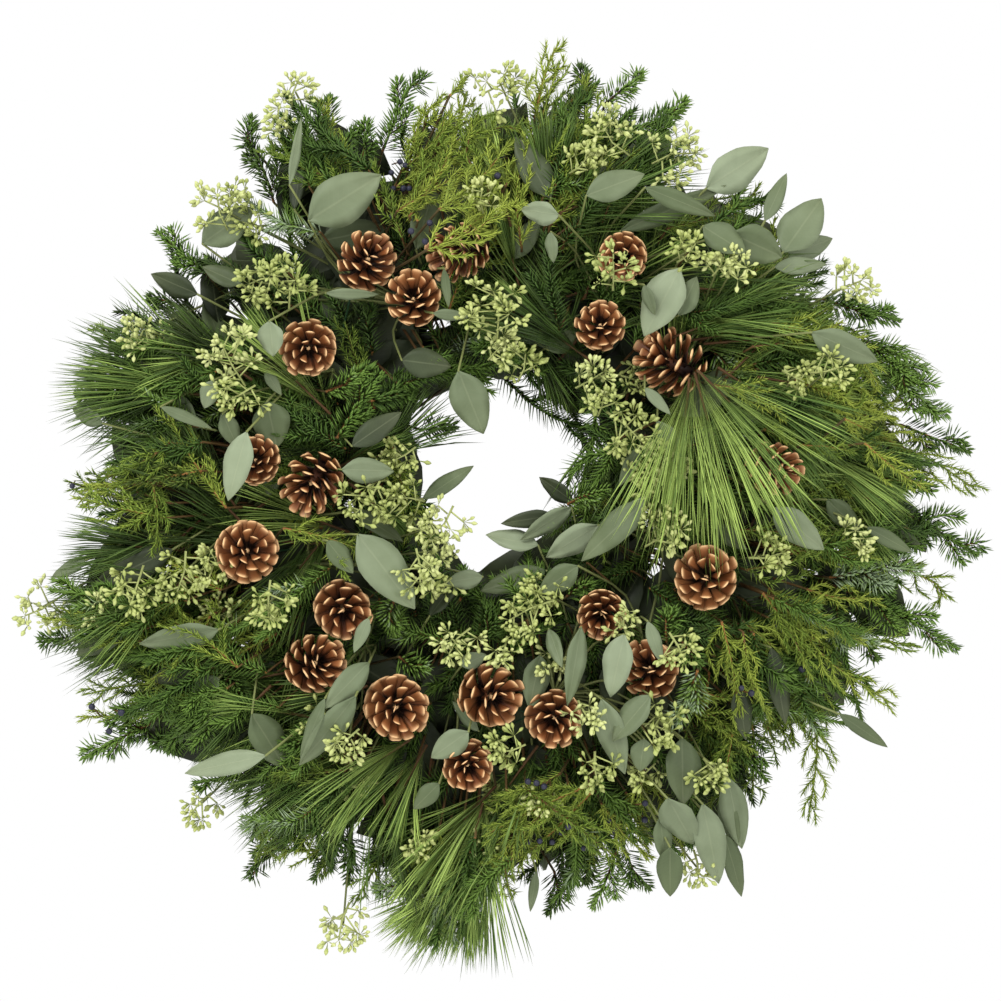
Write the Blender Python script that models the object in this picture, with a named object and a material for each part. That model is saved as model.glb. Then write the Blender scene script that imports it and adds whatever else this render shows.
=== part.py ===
# Christmas wreath, 28 inch: evergreen bunches and seeded eucalyptus crimped on a wire clamp ring,
# with twenty wired pine cones. Metres, +Z up, the front of the wreath faces -Y.
# The origin is the hang point, on the underside of the top of the ring rail.
import math
import random

import bmesh
import bpy
from mathutils import Matrix, Vector
from mathutils.bvhtree import BVHTree

# Driving dimensions
RING_RADIUS = 0.165
RAIL_RADIUS = 0.0019
RAIL_STEPS = 39
CLAMP_COUNT = 13
CLAMP_HALF_WIDTH = 0.0135
CLAMP_TIP = 0.0040
CLAMP_HEIGHT = 0.0150
CLAMP_WIRE = 0.0013
CLAMP_BAR_DEPTH = 0.0010
SEAT_GAP = 0.0003
BUTT_DEPTHS = (0.0037, 0.0043, 0.0043)
PICK_WIRE = 0.0007
BUTT_RADIUS = 0.0026
BUTT_LENGTH = 0.022
BUTT_PITCH = 0.0068
BUTT_CLEARANCE = 0.095
PICK_KNEE = 0.055
PICK_SPACING = 0.035
FRONT_DEPTH = 0.128
DEPTH_FALL = 0.50
FOLIAGE_REACH = 0.190
BACK_LIMIT = 0.004
FRONT_LIMIT = 0.160
GAP = 0.0005
LEAF_THICKNESS = 0.0013
SEED_LENGTH = 0.0115
TUFT_RINGS = 5
TUFT_SPLAY = 0.42
# Pitch along the stem, needle length, angle to the stem, sides with needles, taper, lift to the front
FIR_NEEDLES = (0.0110, 0.021, 0.85, (0, 1, 2), 0.30, 0.8)
CEDAR_NEEDLES = (0.0130, 0.024, 0.62, (0, 1), 0.45, 0.2)
CONE_LENGTH = 0.046
BERRY_RADIUS = 0.0026
BERRY_SHARE = 0.75
TRIES = 1500
PATIENCE = 0.45
SHARPEST_TURN = -0.4
SEAM_WELD = 0.00004
SEAM_ALLOWANCES = (1.12, 1.25, 1.4, 1.6, 1.8, 2.0, 2.3)
SEAM_GAP = 0.0002
# Solvers of the unions and how far the pieces are shaken for each, in metres
UNION_TRIES = (("MANIFOLD", 0.0), ("EXACT", 0.0), ("MANIFOLD", 3e-5), ("MANIFOLD", 6e-5), ("MANIFOLD", 1e-4))

# Places are read off a front view of 1001 by 1001 steps, 0.75 mm a step
STEP = 0.00075
RING_CENTRE_STEP = (505, 490)
# Corners of the boxes that are kept clear in the hole of the wreath
HOLE_BOXES = [((490, 396), (528, 500)), ((482, 440), (592, 474))]

# Pine cones: centre, apex, diameter in steps
CONES = [
    ((368, 265), (379, 250), 60), ((462, 254), (436, 264), 60), ((415, 304), (413, 292), 58),
    ((311, 349), (311, 355), 60), ((259, 462), (258, 456), 52), ((316, 480), (303, 500), 62),
    ((249, 551), (256, 546), 66), ((344, 607), (348, 616), 62), ((315, 662), (330, 656), 62),
    ((396, 703), (404, 709), 68), ((488, 693), (504, 698), 66), ((467, 760), (472, 768), 54),
    ((554, 713), (551, 722), 60), ((601, 611), (598, 620), 52), ((648, 668), (645, 655), 60),
    ((703, 578), (704, 568), 68), ((768, 468), (788, 478), 56), ((669, 365), (640, 349), 70),
    ((599, 329), (599, 321), 52), ((622, 259), (617, 264), 52),
]

# Eucalyptus leaves: base, tip, width in steps, share of the front depth
LEAVES = [
    ((311, 224), (383, 179), 50, 1.04), ((322, 243), (388, 230), 34, 0.70),
    ((292, 189), (305, 120), 11, 0.95), ((296, 212), (302, 160), 16, 0.60),
    ((205, 246), (256, 210), 36, 0.70), ((200, 296), (152, 276), 24, 0.60),
    ((273, 324), (276, 359), 28, 1.10), ((218, 382), (208, 410), 20, 1.00),
    ((251, 433), (231, 501), 30, 1.12), ((165, 408), (216, 429), 12, 0.90),
    ((270, 403), (280, 449), 38, 0.85), ((226, 415), (241, 448), 20, 0.80),
    ((171, 322), (196, 365), 22, 0.80), ((106, 424), (75, 410), 18, 0.70),
    ((459, 373), (484, 436), 38, 1.00), ((403, 362), (452, 368), 30, 0.80),
    ((354, 447), (403, 413), 24, 0.85), ((344, 470), (396, 472), 26, 0.90),
    ((424, 499), (474, 465), 18, 0.70), ((328, 296), (381, 298), 12, 0.90),
    ((434, 316), (470, 320), 12, 0.90), ((558, 220), (520, 215), 27, 1.05),
    ((550, 236), (552, 267), 14, 1.00), ((585, 200), (643, 178), 30, 1.00),
    ((643, 192), (713, 220), 20, 1.00), ((619, 234), (724, 190), 22, 0.90),
    ((704, 190), (768, 152), 36, 0.90), ((762, 224), (785, 175), 17, 0.80),
    ((780, 255), (817, 198), 36, 0.85), ((785, 258), (831, 240), 24, 0.70),
    ((727, 238), (778, 262), 44, 1.00), ((771, 270), (824, 266), 18, 0.90),
    ((700, 230), (742, 256), 32, 0.90), ((677, 272), (641, 338), 42, 1.10),
    ((676, 318), (694, 280), 24, 0.95), ((642, 390), (668, 416), 12, 1.00),
    ((655, 422), (680, 465), 24, 0.80), ((638, 447), (617, 487), 14, 0.80),
    ((548, 352), (576, 334), 24, 0.80), ((573, 502), (538, 478), 20, 0.60),
    ((571, 507), (521, 541), 22, 0.75), ((538, 545), (486, 533), 24, 0.65),
    ((597, 525), (546, 558), 30, 0.90), ((577, 565), (538, 593), 26, 0.95),
    ((546, 570), (480, 590), 26, 0.65), ((644, 500), (579, 560), 30, 1.00),
    ((622, 632), (607, 695), 32, 1.12), ((580, 625), (568, 703), 22, 1.02),
    ((540, 653), (530, 707), 28, 0.95), ((645, 619), (660, 661), 14, 1.05),
    ((648, 692), (609, 737), 30, 0.95), ((600, 696), (622, 771), 30, 0.95),
    ((462, 664), (486, 652), 18, 0.85), ((469, 728), (432, 755), 27, 1.05),
    ((360, 534), (417, 607), 44, 1.05), ((330, 540), (356, 572), 22, 0.85),
    ((371, 616), (356, 650), 14, 0.95), ((371, 660), (328, 705), 26, 0.90),
    ((358, 693), (303, 764), 30, 1.00), ((222, 628), (142, 645), 30, 0.90),
    ((222, 676), (190, 706), 28, 0.80), ((255, 711), (290, 766), 36, 0.85),
    ((269, 752), (186, 770), 24, 1.00), ((196, 668), (152, 680), 22, 0.70),
    ((176, 549), (94, 586), 30, 0.70), ((680, 735), (682, 801), 38, 1.05),
    ((665, 794), (690, 842), 38, 1.05), ((700, 800), (718, 882), 32, 1.00),
    ((722, 831), (742, 895), 22, 0.85), ((725, 774), (740, 847), 28, 0.85),
    ((658, 813), (665, 860), 20, 0.90), ((668, 843), (668, 894), 27, 0.95),
    ((500, 802), (490, 880), 22, 0.60), ((768, 646), (785, 722), 26, 0.80),
    ((735, 685), (745, 738), 24, 0.75), ((836, 712), (887, 746), 15, 0.75),
    ((769, 508), (819, 550), 32, 0.95), ((863, 527), (909, 552), 16, 0.70),
    ((807, 335), (873, 365), 32, 0.90),
]

# Seed umbels of the eucalyptus: hub, share of the front depth
SEEDS = [
    ((297, 95), 0.75), ((283, 125), 0.85), ((224, 212), 0.90), ((288, 285), 1.08),
    ((235, 362), 1.10), ((240, 398), 1.05), ((143, 337), 0.80), ((501, 89), 0.70),
    ((483, 202), 0.95), ((495, 314), 1.05), ((522, 367), 0.95), ((611, 140), 0.85),
    ((676, 161), 0.85), ((611, 272), 1.20), ((685, 255), 1.05), ((730, 270), 1.05),
    ((591, 380), 0.95), ((624, 431), 1.00), ((662, 529), 1.00), ((846, 287), 0.85),
    ((825, 371), 0.95), ((765, 554), 0.95), ((140, 589), 0.90), ((185, 575), 0.90),
    ((273, 601), 1.00), ((40, 609), 0.60), ((367, 501), 1.00), ((440, 525), 0.80),
    ((458, 642), 0.95), ((526, 611), 1.00), ((350, 740), 0.95), ((507, 745), 0.95),
    ((595, 766), 0.95), ((675, 647), 1.15), ((652, 725), 1.00), ((344, 923), 0.75),
    ((202, 803), 0.80), ((709, 770), 0.95), ((695, 864), 0.75),
]

# Fir sprays: points from base to tip, share of the front depth
FIR = [
    ([(275, 204), (244, 130)], 0.40), ([(383, 153), (400, 110), (421, 69)], 0.45),
    ([(208, 275), (151, 226)], 0.45), ([(180, 310), (142, 295)], 0.35),
    ([(161, 443), (102, 402)], 0.50), ([(339, 439), (362, 402), (388, 368)], 0.85),
    ([(421, 430), (466, 426)], 0.35), ([(562, 126), (592, 63)], 0.40),
    ([(604, 106), (650, 70)], 0.30), ([(627, 134), (692, 108)], 0.45),
    ([(748, 290), (800, 272)], 0.60), ([(832, 304), (907, 325)], 0.40),
    ([(854, 494), (920, 522), (984, 560)], 0.30), ([(827, 577), (880, 568), (928, 569)], 0.45),
    ([(832, 585), (900, 616), (965, 654)], 0.35), ([(900, 425), (978, 455)], 0.25),
    ([(830, 615), (885, 665)], 0.25), ([(701, 728), (740, 752), (772, 785)], 0.45),
    ([(695, 668), (673, 731)], 0.70), ([(554, 870), (548, 923)], 0.35),
    ([(615, 851), (589, 915)], 0.45), ([(624, 847), (654, 896)], 0.35),
    ([(242, 658), (180, 656)], 0.65), ([(242, 660), (205, 712), (153, 750)], 0.60),
    ([(151, 723), (75, 762)], 0.40), ([(291, 833), (242, 878)], 0.30),
    ([(436, 882), (364, 886)], 0.45), ([(395, 600), (395, 642)], 0.75),
    ([(460, 600), (464, 558)], 0.50), ([(566, 596), (595, 578)], 0.60),
    ([(713, 354), (767, 402)], 0.65), ([(90, 640), (30, 638)], 0.35),
    ([(195, 470), (135, 490)], 0.55), ([(859, 337), (915, 370), (951, 410)], 0.45),
]

# White pine tufts: root, middle of the needle tips, share of the front depth
PINE = [
    ((185, 395), (62, 398), 0.60), ((192, 375), (84, 335), 0.50), ((225, 490), (173, 425), 0.60),
    ((200, 600), (42, 620), 0.55), ((190, 618), (50, 668), 0.45), ((160, 548), (60, 540), 0.45),
    ((340, 760), (225, 812), 0.65), ((391, 750), (290, 815), 0.70), ((300, 698), (185, 738), 0.50),
    ((480, 800), (400, 885), 0.60), ((487, 858), (465, 972), 0.40), ((464, 880), (372, 940), 0.35),
    ((548, 205), (555, 108), 0.65), ((575, 210), (705, 160), 0.60), ((570, 348), (478, 280), 0.85),
    ((555, 340), (560, 428), 0.55), ((690, 332), (800, 290), 0.75), ((684, 404), (668, 560), 1.12),
    ((698, 398), (748, 580), 1.14), ((710, 388), (830, 505), 1.10), ((735, 382), (856, 462), 0.75),
    ((815, 455), (911, 520), 0.50), ((850, 350), (930, 392), 0.45), ((500, 340), (435, 385), 0.50),
]

# Cedar and juniper sprays: points from base to tip, share of the front depth
CEDAR = [
    ([(401, 175), (440, 140), (464, 106)], 0.70), ([(440, 150), (500, 130), (534, 136)], 0.60),
    ([(428, 255), (475, 235), (517, 204)], 1.14), ([(330, 150), (318, 98)], 0.55),
    ([(535, 120), (545, 75), (560, 40)], 0.45), ([(286, 528), (325, 536), (371, 552)], 1.06),
    ([(157, 484), (160, 555)], 0.70), ([(139, 505), (98, 490), (63, 480)], 0.40),
    ([(183, 680), (130, 685), (81, 695)], 0.50), ([(150, 715), (75, 716)], 0.45),
    ([(587, 782), (535, 805), (479, 835)], 0.80), ([(590, 790), (545, 835), (500, 868)], 0.65),
    ([(600, 800), (654, 860)], 0.60), ([(785, 617), (831, 590)], 0.60),
    ([(766, 587), (803, 634), (831, 664), (897, 707)], 0.60),
    ([(790, 665), (815, 735), (807, 824)], 0.50), ([(758, 665), (780, 713)], 0.65),
    ([(880, 560), (935, 583), (940, 612)], 0.45),
    ([(880, 440), (980, 492)], 0.40), ([(796, 446), (854, 452)], 0.75),
    ([(345, 820), (322, 880)], 0.40),
]

# Juniper berries on the cedar sprays
BERRIES = [
    (402, 168), (395, 188), (427, 245), (504, 160), (540, 781), (560, 826), (641, 806), (584, 844),
    (740, 690), (122, 708), (100, 716), (80, 485),
]

# Clamps that hold a pine bunch, counted clockwise from the top; the others hold cedar
PINE_CLAMPS = (0, 1, 2, 6, 7, 9, 10)

random.seed(7)
VIEW = Vector((0, -1, 0))
RING_CENTRE = Vector((0, 0, -RING_RADIUS))


def clear_scene():
    for item in list(bpy.data.objects):
        bpy.data.objects.remove(item)


def make_material(name, colour, roughness, metallic=0.0):
    material = bpy.data.materials.new(name)
    material.use_nodes = True
    shader = material.node_tree.nodes["Principled BSDF"]
    shader.inputs["Base Color"].default_value = (*colour, 1.0)
    shader.inputs["Roughness"].default_value = roughness
    shader.inputs["Metallic"].default_value = metallic
    return material


def front_place(step, share):
    """Point of the front view at a share of the local depth, which falls away from the ring."""
    x = (step[0] - RING_CENTRE_STEP[0]) * STEP
    z = (RING_CENTRE_STEP[1] - step[1]) * STEP
    away = (math.hypot(x, z) - RING_RADIUS) / FOLIAGE_REACH
    depth = FRONT_DEPTH * share * (1 - DEPTH_FALL * min(1.0, away * away))
    return RING_CENTRE + Vector((x, -depth, z))


def ring_place(angle, radius, depth):
    return RING_CENTRE + Vector((radius * math.sin(angle), -depth, radius * math.cos(angle)))


def clamp_angle(number):
    return 2 * math.pi * (number + 0.5) / CLAMP_COUNT


def clock_angle(step):
    return math.atan2(step[0] - RING_CENTRE_STEP[0], RING_CENTRE_STEP[1] - step[1])


def free_angle(angle, used):
    """The nearest place on the rail that no bunch is crimped to and no other pick is twisted on."""
    for number in range(CLAMP_COUNT):
        past = (angle - clamp_angle(number) + math.pi) % (2 * math.pi) - math.pi
        if -BUTT_CLEARANCE < past < 2 * BUTT_CLEARANCE:
            angle = clamp_angle(number) - BUTT_CLEARANCE
    while any(turn_between(angle, other) < PICK_SPACING for other in used):
        angle -= PICK_SPACING
    used.append(angle)
    return angle


def turn_between(first, second):
    return abs((first - second + math.pi) % (2 * math.pi) - math.pi)


def smooth_path(points, spans):
    """Catmull-Rom curve through the points, with a number of steps for each span."""
    ends = [points[0] * 2 - points[1]] + points + [points[-1] * 2 - points[-2]]
    path = [points[0].copy()]
    for span, steps in enumerate(spans):
        a, b, c, d = ends[span:span + 4]
        for step in range(1, steps + 1):
            t = step / steps
            path.append(0.5 * (2 * b + (c - a) * t + (2 * a - 5 * b + 4 * c - d) * t * t
                               + (3 * b - 3 * c + d - a) * t ** 3))
    return path


def loft(path, widths, thicks, roll=0.0, spike=None, end_spike=None):
    """Three-sided loft along a path, flat at the back; its side faces may be drawn out to spikes."""
    count = len(path)
    tangents = []
    for i in range(count):
        ahead = path[min(i + 1, count - 1)] - path[max(i - 1, 0)]
        tangents.append(ahead.normalized())
    front = VIEW - tangents[-1] * VIEW.dot(tangents[-1])
    front = Matrix.Rotation(roll, 3, tangents[-1]) @ front.normalized()
    fronts = [front]
    for i in range(count - 2, -1, -1):
        front = tangents[i + 1].rotation_difference(tangents[i]) @ front
        front = (front - tangents[i] * front.dot(tangents[i])).normalized()
        fronts.insert(0, front)
    verts = []
    faces = [(0, 1, 2)]
    for i in range(count):
        across = tangents[i].cross(fronts[i]) * widths[i]
        toward = fronts[i] * thicks[i]
        verts += [path[i] + across - toward * 0.5, path[i] + toward, path[i] - across - toward * 0.5]
    for i in range(count - 1):
        side = tangents[i].cross(fronts[i])
        outs = (side, -side, -fronts[i])
        for k in range(3):
            quad = (3 * i + k, 3 * i + 3 + k, 3 * i + 3 + (k + 1) % 3, 3 * i + (k + 1) % 3)
            tips = spike(i, k, middle_of(verts, quad), tangents[i], outs[k], fronts[i]) if spike else None
            if tips:
                draw_out(verts, faces, quad, tips)
            else:
                faces.append(quad)
    last = 3 * (count - 1)
    end = (last + 2, last + 1, last)
    tips = end_spike(middle_of(verts, end), tangents[-1]) if end_spike else None
    draw_out(verts, faces, end, tips or [(path[-1] + tangents[-1] * 2.0 * thicks[-1], 0.0)])
    return facing_out(verts, faces)


def middle_of(verts, face):
    return sum((verts[k] for k in face), Vector()) / len(face)


def draw_out(verts, faces, base, tips):
    """Draw a face out through scaled copies of itself to a sharp point."""
    ring = list(base)
    centre = middle_of(verts, base)
    sides = len(base)
    for place, scale in tips[:-1]:
        start = len(verts)
        verts += [place + (verts[k] - centre) * scale for k in base]
        for k in range(sides):
            faces.append((ring[k], ring[(k + 1) % sides], start + (k + 1) % sides, start + k))
        ring = [start + k for k in range(sides)]
    point = len(verts)
    verts.append(tips[-1][0])
    for k in range(sides):
        faces.append((ring[k], ring[(k + 1) % sides], point))


def swell(verts, faces, amount):
    """The mesh grown by the gap that it must keep to its neighbours."""
    normals = [Vector() for _ in verts]
    for a, b, c in faces:
        normal = (verts[b] - verts[a]).cross(verts[c] - verts[a])
        for k in (a, b, c):
            normals[k] += normal
    return [v + n.normalized() * amount for v, n in zip(verts, normals)]


class Bunch:
    """One node: a bunch of stems of one kind, all grown from the butt held in a clamp."""

    def __init__(self, name, material):
        self.name = name
        self.material = material
        self.meshes = []
        self.anchors = []


taken = []


def box_of(verts):
    low = Vector(min(v[i] for v in verts) for i in range(3))
    high = Vector(max(v[i] for v in verts) for i in range(3))
    return low, high


def hole_block(corners):
    """A block of the hole that must stay open, from the back of the wreath to its front."""
    (left, top), (right, bottom) = corners
    middle_x, middle_z = RING_CENTRE_STEP
    low = RING_CENTRE + Vector(((left - middle_x) * STEP, -0.3, (middle_z - bottom) * STEP))
    high = RING_CENTRE + Vector(((right - middle_x) * STEP, 0.1, (middle_z - top) * STEP))
    verts = [Vector((x, y, z)) for x in (low.x, high.x) for y in (low.y, high.y) for z in (low.z, high.z)]
    faces = [(0, 1, 3), (0, 3, 2), (4, 6, 7), (4, 7, 5), (0, 4, 5), (0, 5, 1),
             (2, 3, 7), (2, 7, 6), (0, 2, 6), (0, 6, 4), (1, 5, 7), (1, 7, 3)]
    return verts, faces


def is_clear(bunch, verts, faces, root, root_room, gap=GAP):
    fat = swell(verts, faces, gap)
    if max(v.y for v in fat) > BACK_LIMIT or min(v.y for v in fat) < -FRONT_LIMIT:
        return False
    low, high = box_of(fat)
    near = [(owner, other) for owner, other, other_low, other_high in taken
            if all(low[i] <= other_high[i] and high[i] >= other_low[i] for i in range(3))]
    for skin in (fat, verts):
        tree = BVHTree.FromPolygons(skin, faces) if near else None
        for owner, other in near:
            pairs = tree.overlap(other)
            if pairs and owner is not bunch:
                return False
            if any((middle_of(skin, faces[face]) - root).length > root_room for face, _ in pairs):
                return False
    return True


def facing_out(verts, faces):
    """Triangles of the faces, cut the same way wherever a mesh is used, and turned outwards."""
    split = []
    for face in faces:
        split.append(face[:3])
        if len(face) == 4:
            split.append((face[0], face[2], face[3]))
    volume = sum(verts[a].dot(verts[b].cross(verts[c])) for a, b, c in split)
    return verts, split if volume > 0 else [face[::-1] for face in split]


def keep(bunch, *parts):
    bunch.meshes += parts
    verts, faces = together(parts)
    taken.append((bunch, BVHTree.FromPolygons(verts, faces), *box_of(verts)))


def near_anchors(bunch, place, count):
    return sorted(bunch.anchors, key=lambda anchor: (anchor[0] - place).length)[:count]


def jitter(size):
    return Vector(random.uniform(-size, size) for _ in range(3))


def stalk_to(anchor, base, ahead, bow):
    """Control points of a stalk that leaves its parent and arrives along the spray."""
    reach = (base - anchor).length
    if reach < 0.028:
        return [anchor, base], [1]
    middle = anchor.lerp(base, 0.5) - ahead * reach * 0.18 + bow
    return [anchor, middle, base], [1, 1] if reach < 0.075 else [2, 2]


def bends_back(path):
    """True where a path turns so sharply that its loft would fold into itself."""
    spans = [(b - a).normalized() for a, b in zip(path, path[1:])]
    return any(before.dot(after) < SHARPEST_TURN for before, after in zip(spans, spans[1:]))


def together(parts):
    """The meshes of one item as a single list of corners and one of faces."""
    verts, faces = [], []
    for part_verts, part_faces in parts:
        faces += [tuple(k + len(verts) for k in face) for face in part_faces]
        verts += part_verts
    return verts, faces


def crossings(verts, faces):
    """How many pairs of faces cut through each other without sharing a corner."""
    tree = BVHTree.FromPolygons(verts, faces)
    return sum(a < b and not set(faces[a]) & set(faces[b]) for a, b in tree.overlap(tree))


def crossings_of(mesh):
    return crossings([v.co for v in mesh.vertices], [tuple(p.vertices) for p in mesh.polygons])


def grow(near_bunches, shape, places):
    """Try one item at several depths, roots and bends until it is clear, then keep it."""
    for attempt in range(TRIES):
        wobble = attempt / TRIES
        bunch = near_bunches[0 if attempt % 4 else min(1, attempt * 3 // TRIES)]
        shift = jitter(0.008 * wobble)
        shift.y = random.uniform(-1, 1) * 0.040 * wobble
        moved = [places[0].lerp(p, 1 - 0.22 * wobble) + shift for p in places]
        choices = near_anchors(bunch, moved[0], 1 + attempt % 6)
        root, root_radius = choices[-1]
        ahead = (moved[-1] - moved[0]).normalized()
        bow = jitter(0.004 + 0.050 * wobble)
        control, spans = stalk_to(root, moved[0], ahead, bow)
        parts, path, stalk_end = shape(control, spans, moved[1:], wobble)
        if (not bends_back(path) and is_clear(bunch, *together(parts), root, 0.006 + root_radius)
                and (wobble > PATIENCE or not any(crossings(*part) for part in parts))):
            keep(bunch, *parts)
            bunch.anchors += [(p, 0.0012) for p in path[1:stalk_end]]
            return True
    return False


def leaf_shape(width):
    def shape(control, spans, tail, wobble):
        tip = tail[-1]
        base = control[-1]
        length = (tip - base).length
        arch = VIEW * length * random.uniform(0.02, 0.12)
        stalk = smooth_path(control + [base.lerp(tip, 0.3) + arch * 0.7], spans + [1])
        stations = [(0.25, 0.86), (0.50, 1.0), (0.76, 0.58)]
        if width < 0.027:
            stations = [(0.32, 0.93), (0.66, 0.78)]
        stalk.pop()
        path = list(stalk)
        widths = [0.0010] * len(path)
        thicks = [0.0010] * len(path)
        for along, share in stations:
            path.append(base.lerp(tip, along) + arch * math.sin(math.pi * along))
            widths.append(width * share / 2)
            thicks.append(LEAF_THICKNESS * 2 / 3)
        roll = random.uniform(-0.5, 0.5) * (0.5 + wobble)
        leaf = loft(path, widths, thicks, roll, None, lambda end, along: [(tip, 0.0)])
        return [leaf], path, len(stalk) - 1
    return shape


def umbel_shape(size):
    """Stalk that ends in four plump seeds: three around and one ahead."""
    def shape(control, spans, tail, wobble):
        base = control[-1]
        ahead = (tail[-1] - base).normalized()
        stalk = smooth_path(control, spans)
        path = stalk + [base + ahead * 0.0032]
        radii = [0.0010] * (len(stalk) - 1) + [0.0014, 0.0015]
        last = len(path) - 2

        def spike(i, k, centre, along, out, front):
            if i < last:
                return None
            reach = (out * 0.85 + front * 0.25 + ahead * 0.55).normalized() * size
            return [(centre + reach * 0.55, 1.5), (centre + reach, 0.0)]

        def end_spike(centre, along):
            return [(centre + ahead * size * 0.55, 1.6), (centre + ahead * size, 0.0)]
        umbel = loft(path, radii, radii, random.uniform(-0.7, 0.7), spike, end_spike)
        return [umbel], path, len(stalk) - 1
    return shape


def berry_shape(radius):
    """Short stalk that ends in one berry."""
    def shape(control, spans, tail, wobble):
        base = control[-1]
        ahead = (tail[-1] - base).normalized()
        stalk = smooth_path(control, spans)
        path = stalk + [base + ahead * radius]
        radii = [0.0009] * len(stalk) + [radius * 1.15]
        berry = loft(path, radii, radii, random.uniform(-0.7, 0.7), None,
                     lambda centre, along: [(base + ahead * radius * 2.1, 0.0)])
        return [berry], path, len(stalk) - 1
    return shape


def needle_shape(pitch, length, angle, sides, taper, lift):
    """Stem with one needle on each of the given sides of every step."""
    def shape(control, spans, tail, wobble):
        base = control[-1]
        tail = list(tail)
        before = tail[-2] if len(tail) > 1 else base
        tail[-1] = tail[-1] + (before - tail[-1]).normalized() * length * 0.6
        reach = sum((b - a).length for a, b in zip([base] + tail, tail))
        steps = max(3, round(reach / pitch))
        split = [max(1, round(steps * (b - a).length / reach)) for a, b in zip([base] + tail, tail)]
        path = smooth_path(control + tail, spans + split)
        bare = sum(spans)
        total = len(path) - 1
        radii = [0.0016 - 0.0007 * i / total for i in range(len(path))]

        def spike(i, k, centre, along, out, front):
            if i < bare or k not in sides:
                return None
            near_end = (i - bare) / max(1, total - bare)
            size = length * (1 - taper * near_end) * random.uniform(0.85, 1.1)
            lean = (out + front * random.uniform(0.0, lift)).normalized()
            return [(centre + (lean * math.sin(angle) + along * math.cos(angle)) * size, 0.0)]

        roll = random.uniform(-0.4, 0.4) * (1 + wobble)
        spray = loft(path, radii, radii, roll, spike,
                     lambda centre, along: [(centre + along * length * 0.6, 0.0)])
        return [spray], path, bare + 1
    return shape


def tuft_shape(rings, splay):
    """Pine tuft: rings of long needles that open wider towards the stem."""
    def shape(control, spans, tail, wobble):
        base = control[-1]
        tip = tail[-1]
        length = (tip - base).length
        ahead = (tip - base).normalized()
        path = smooth_path(control, spans)
        twig = loft(path, [0.0017] * len(path), [0.0017] * len(path))
        head = [base + ahead * 0.005 * (ring - 0.5) for ring in range(rings + 1)]
        radii = [0.0019] * (rings + 1)
        widest = splay * random.uniform(0.85, 1.05) * (1 - 0.4 * wobble)

        def spike(i, k, centre, along, out, front):
            open_angle = widest * (1 - 0.72 * i / rings) * (0.35 if k == 2 else 1.0)
            reach = (out * math.sin(open_angle) + ahead * math.cos(open_angle)) * length
            return [(centre + reach * random.uniform(0.88, 1.0), 0.0)]
        needles = loft(head, radii, radii, random.uniform(-0.3, 0.3), spike,
                       lambda centre, along: [(tip, 0.0)])
        return [twig, needles], path, len(path) - 1
    return shape


def mesh_object(name, verts, faces):
    mesh = bpy.data.meshes.new(name)
    mesh.from_pydata([tuple(v) for v in verts], [], faces)
    item = bpy.data.objects.new(name, mesh)
    bpy.context.scene.collection.objects.link(item)
    return item


def largest_body(work):
    """Delete all but the largest connected body, and say how many scraps went."""
    work.faces.ensure_lookup_table()
    seen = set()
    bodies = []
    for face in work.faces:
        if face in seen:
            continue
        body = []
        queue = [face]
        seen.add(face)
        while queue:
            current = queue.pop()
            body.append(current)
            for edge in current.edges:
                for other in edge.link_faces:
                    if other not in seen:
                        seen.add(other)
                        queue.append(other)
        bodies.append(body)
    bodies.sort(key=len)
    for body in bodies[:-1]:
        bmesh.ops.delete(work, geom=body, context="FACES")
    return len(bodies) - 1


def is_closed(mesh):
    work = bmesh.new()
    work.from_mesh(mesh)
    closed = len(work.faces) > 0 and all(edge.is_manifold for edge in work.edges)
    work.free()
    return closed


def union_of(name, meshes, solver, shake):
    """One Boolean union of the meshes on a collection, each shaken a little off faces that coincide."""
    items = []
    for verts, faces in meshes:
        shift = jitter(shake)
        items.append(mesh_object(name, [v + shift for v in verts], faces))
    body = items[0]
    if len(items) > 1:
        others = bpy.data.collections.new(name + "_parts")
        for item in items[1:]:
            others.objects.link(item)
        union = body.modifiers.new("union", "BOOLEAN")
        union.operation = "UNION"
        union.operand_type = "COLLECTION"
        union.collection = others
        union.solver = solver
        graph = bpy.context.evaluated_depsgraph_get()
        body.data = bpy.data.meshes.new_from_object(body.evaluated_get(graph))
        body.modifiers.remove(union)
        for item in items[1:]:
            bpy.data.objects.remove(item)
        bpy.data.collections.remove(others)
    work = bmesh.new()
    work.from_mesh(body.data)
    bmesh.ops.triangulate(work, faces=work.faces)
    scraps = largest_body(work)
    work.to_mesh(body.data)
    work.free()
    return body, scraps


def fuse(name, meshes, material):
    """Join the meshes of one node, and weld the slivers of its seams where it stays closed."""
    body = None
    for solver, shake in UNION_TRIES:
        if body:
            bpy.data.objects.remove(body)
        body, scraps = union_of(name, meshes, solver, shake)
        if is_closed(body.data):
            break
    work = bmesh.new()
    work.from_mesh(body.data)
    bmesh.ops.remove_doubles(work, verts=work.verts, dist=SEAM_WELD)
    bmesh.ops.dissolve_limit(work, angle_limit=0.001, verts=work.verts, edges=work.edges)
    bmesh.ops.triangulate(work, faces=work.faces)
    welded = bpy.data.meshes.new(name)
    work.to_mesh(welded)
    work.free()
    if is_closed(welded) and crossings_of(welded) <= crossings_of(body.data):
        body.data = welded
    body.name = name
    body.data.name = name
    body.data.materials.clear()
    body.data.materials.append(material)
    print(name, "triangles", len(body.data.polygons), "scraps", scraps, "closed", is_closed(body.data),
          "crossings", crossings_of(body.data))
    return body


def tree_of(mesh):
    return BVHTree.FromPolygons([v.co for v in mesh.vertices], [p.vertices for p in mesh.polygons])


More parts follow.
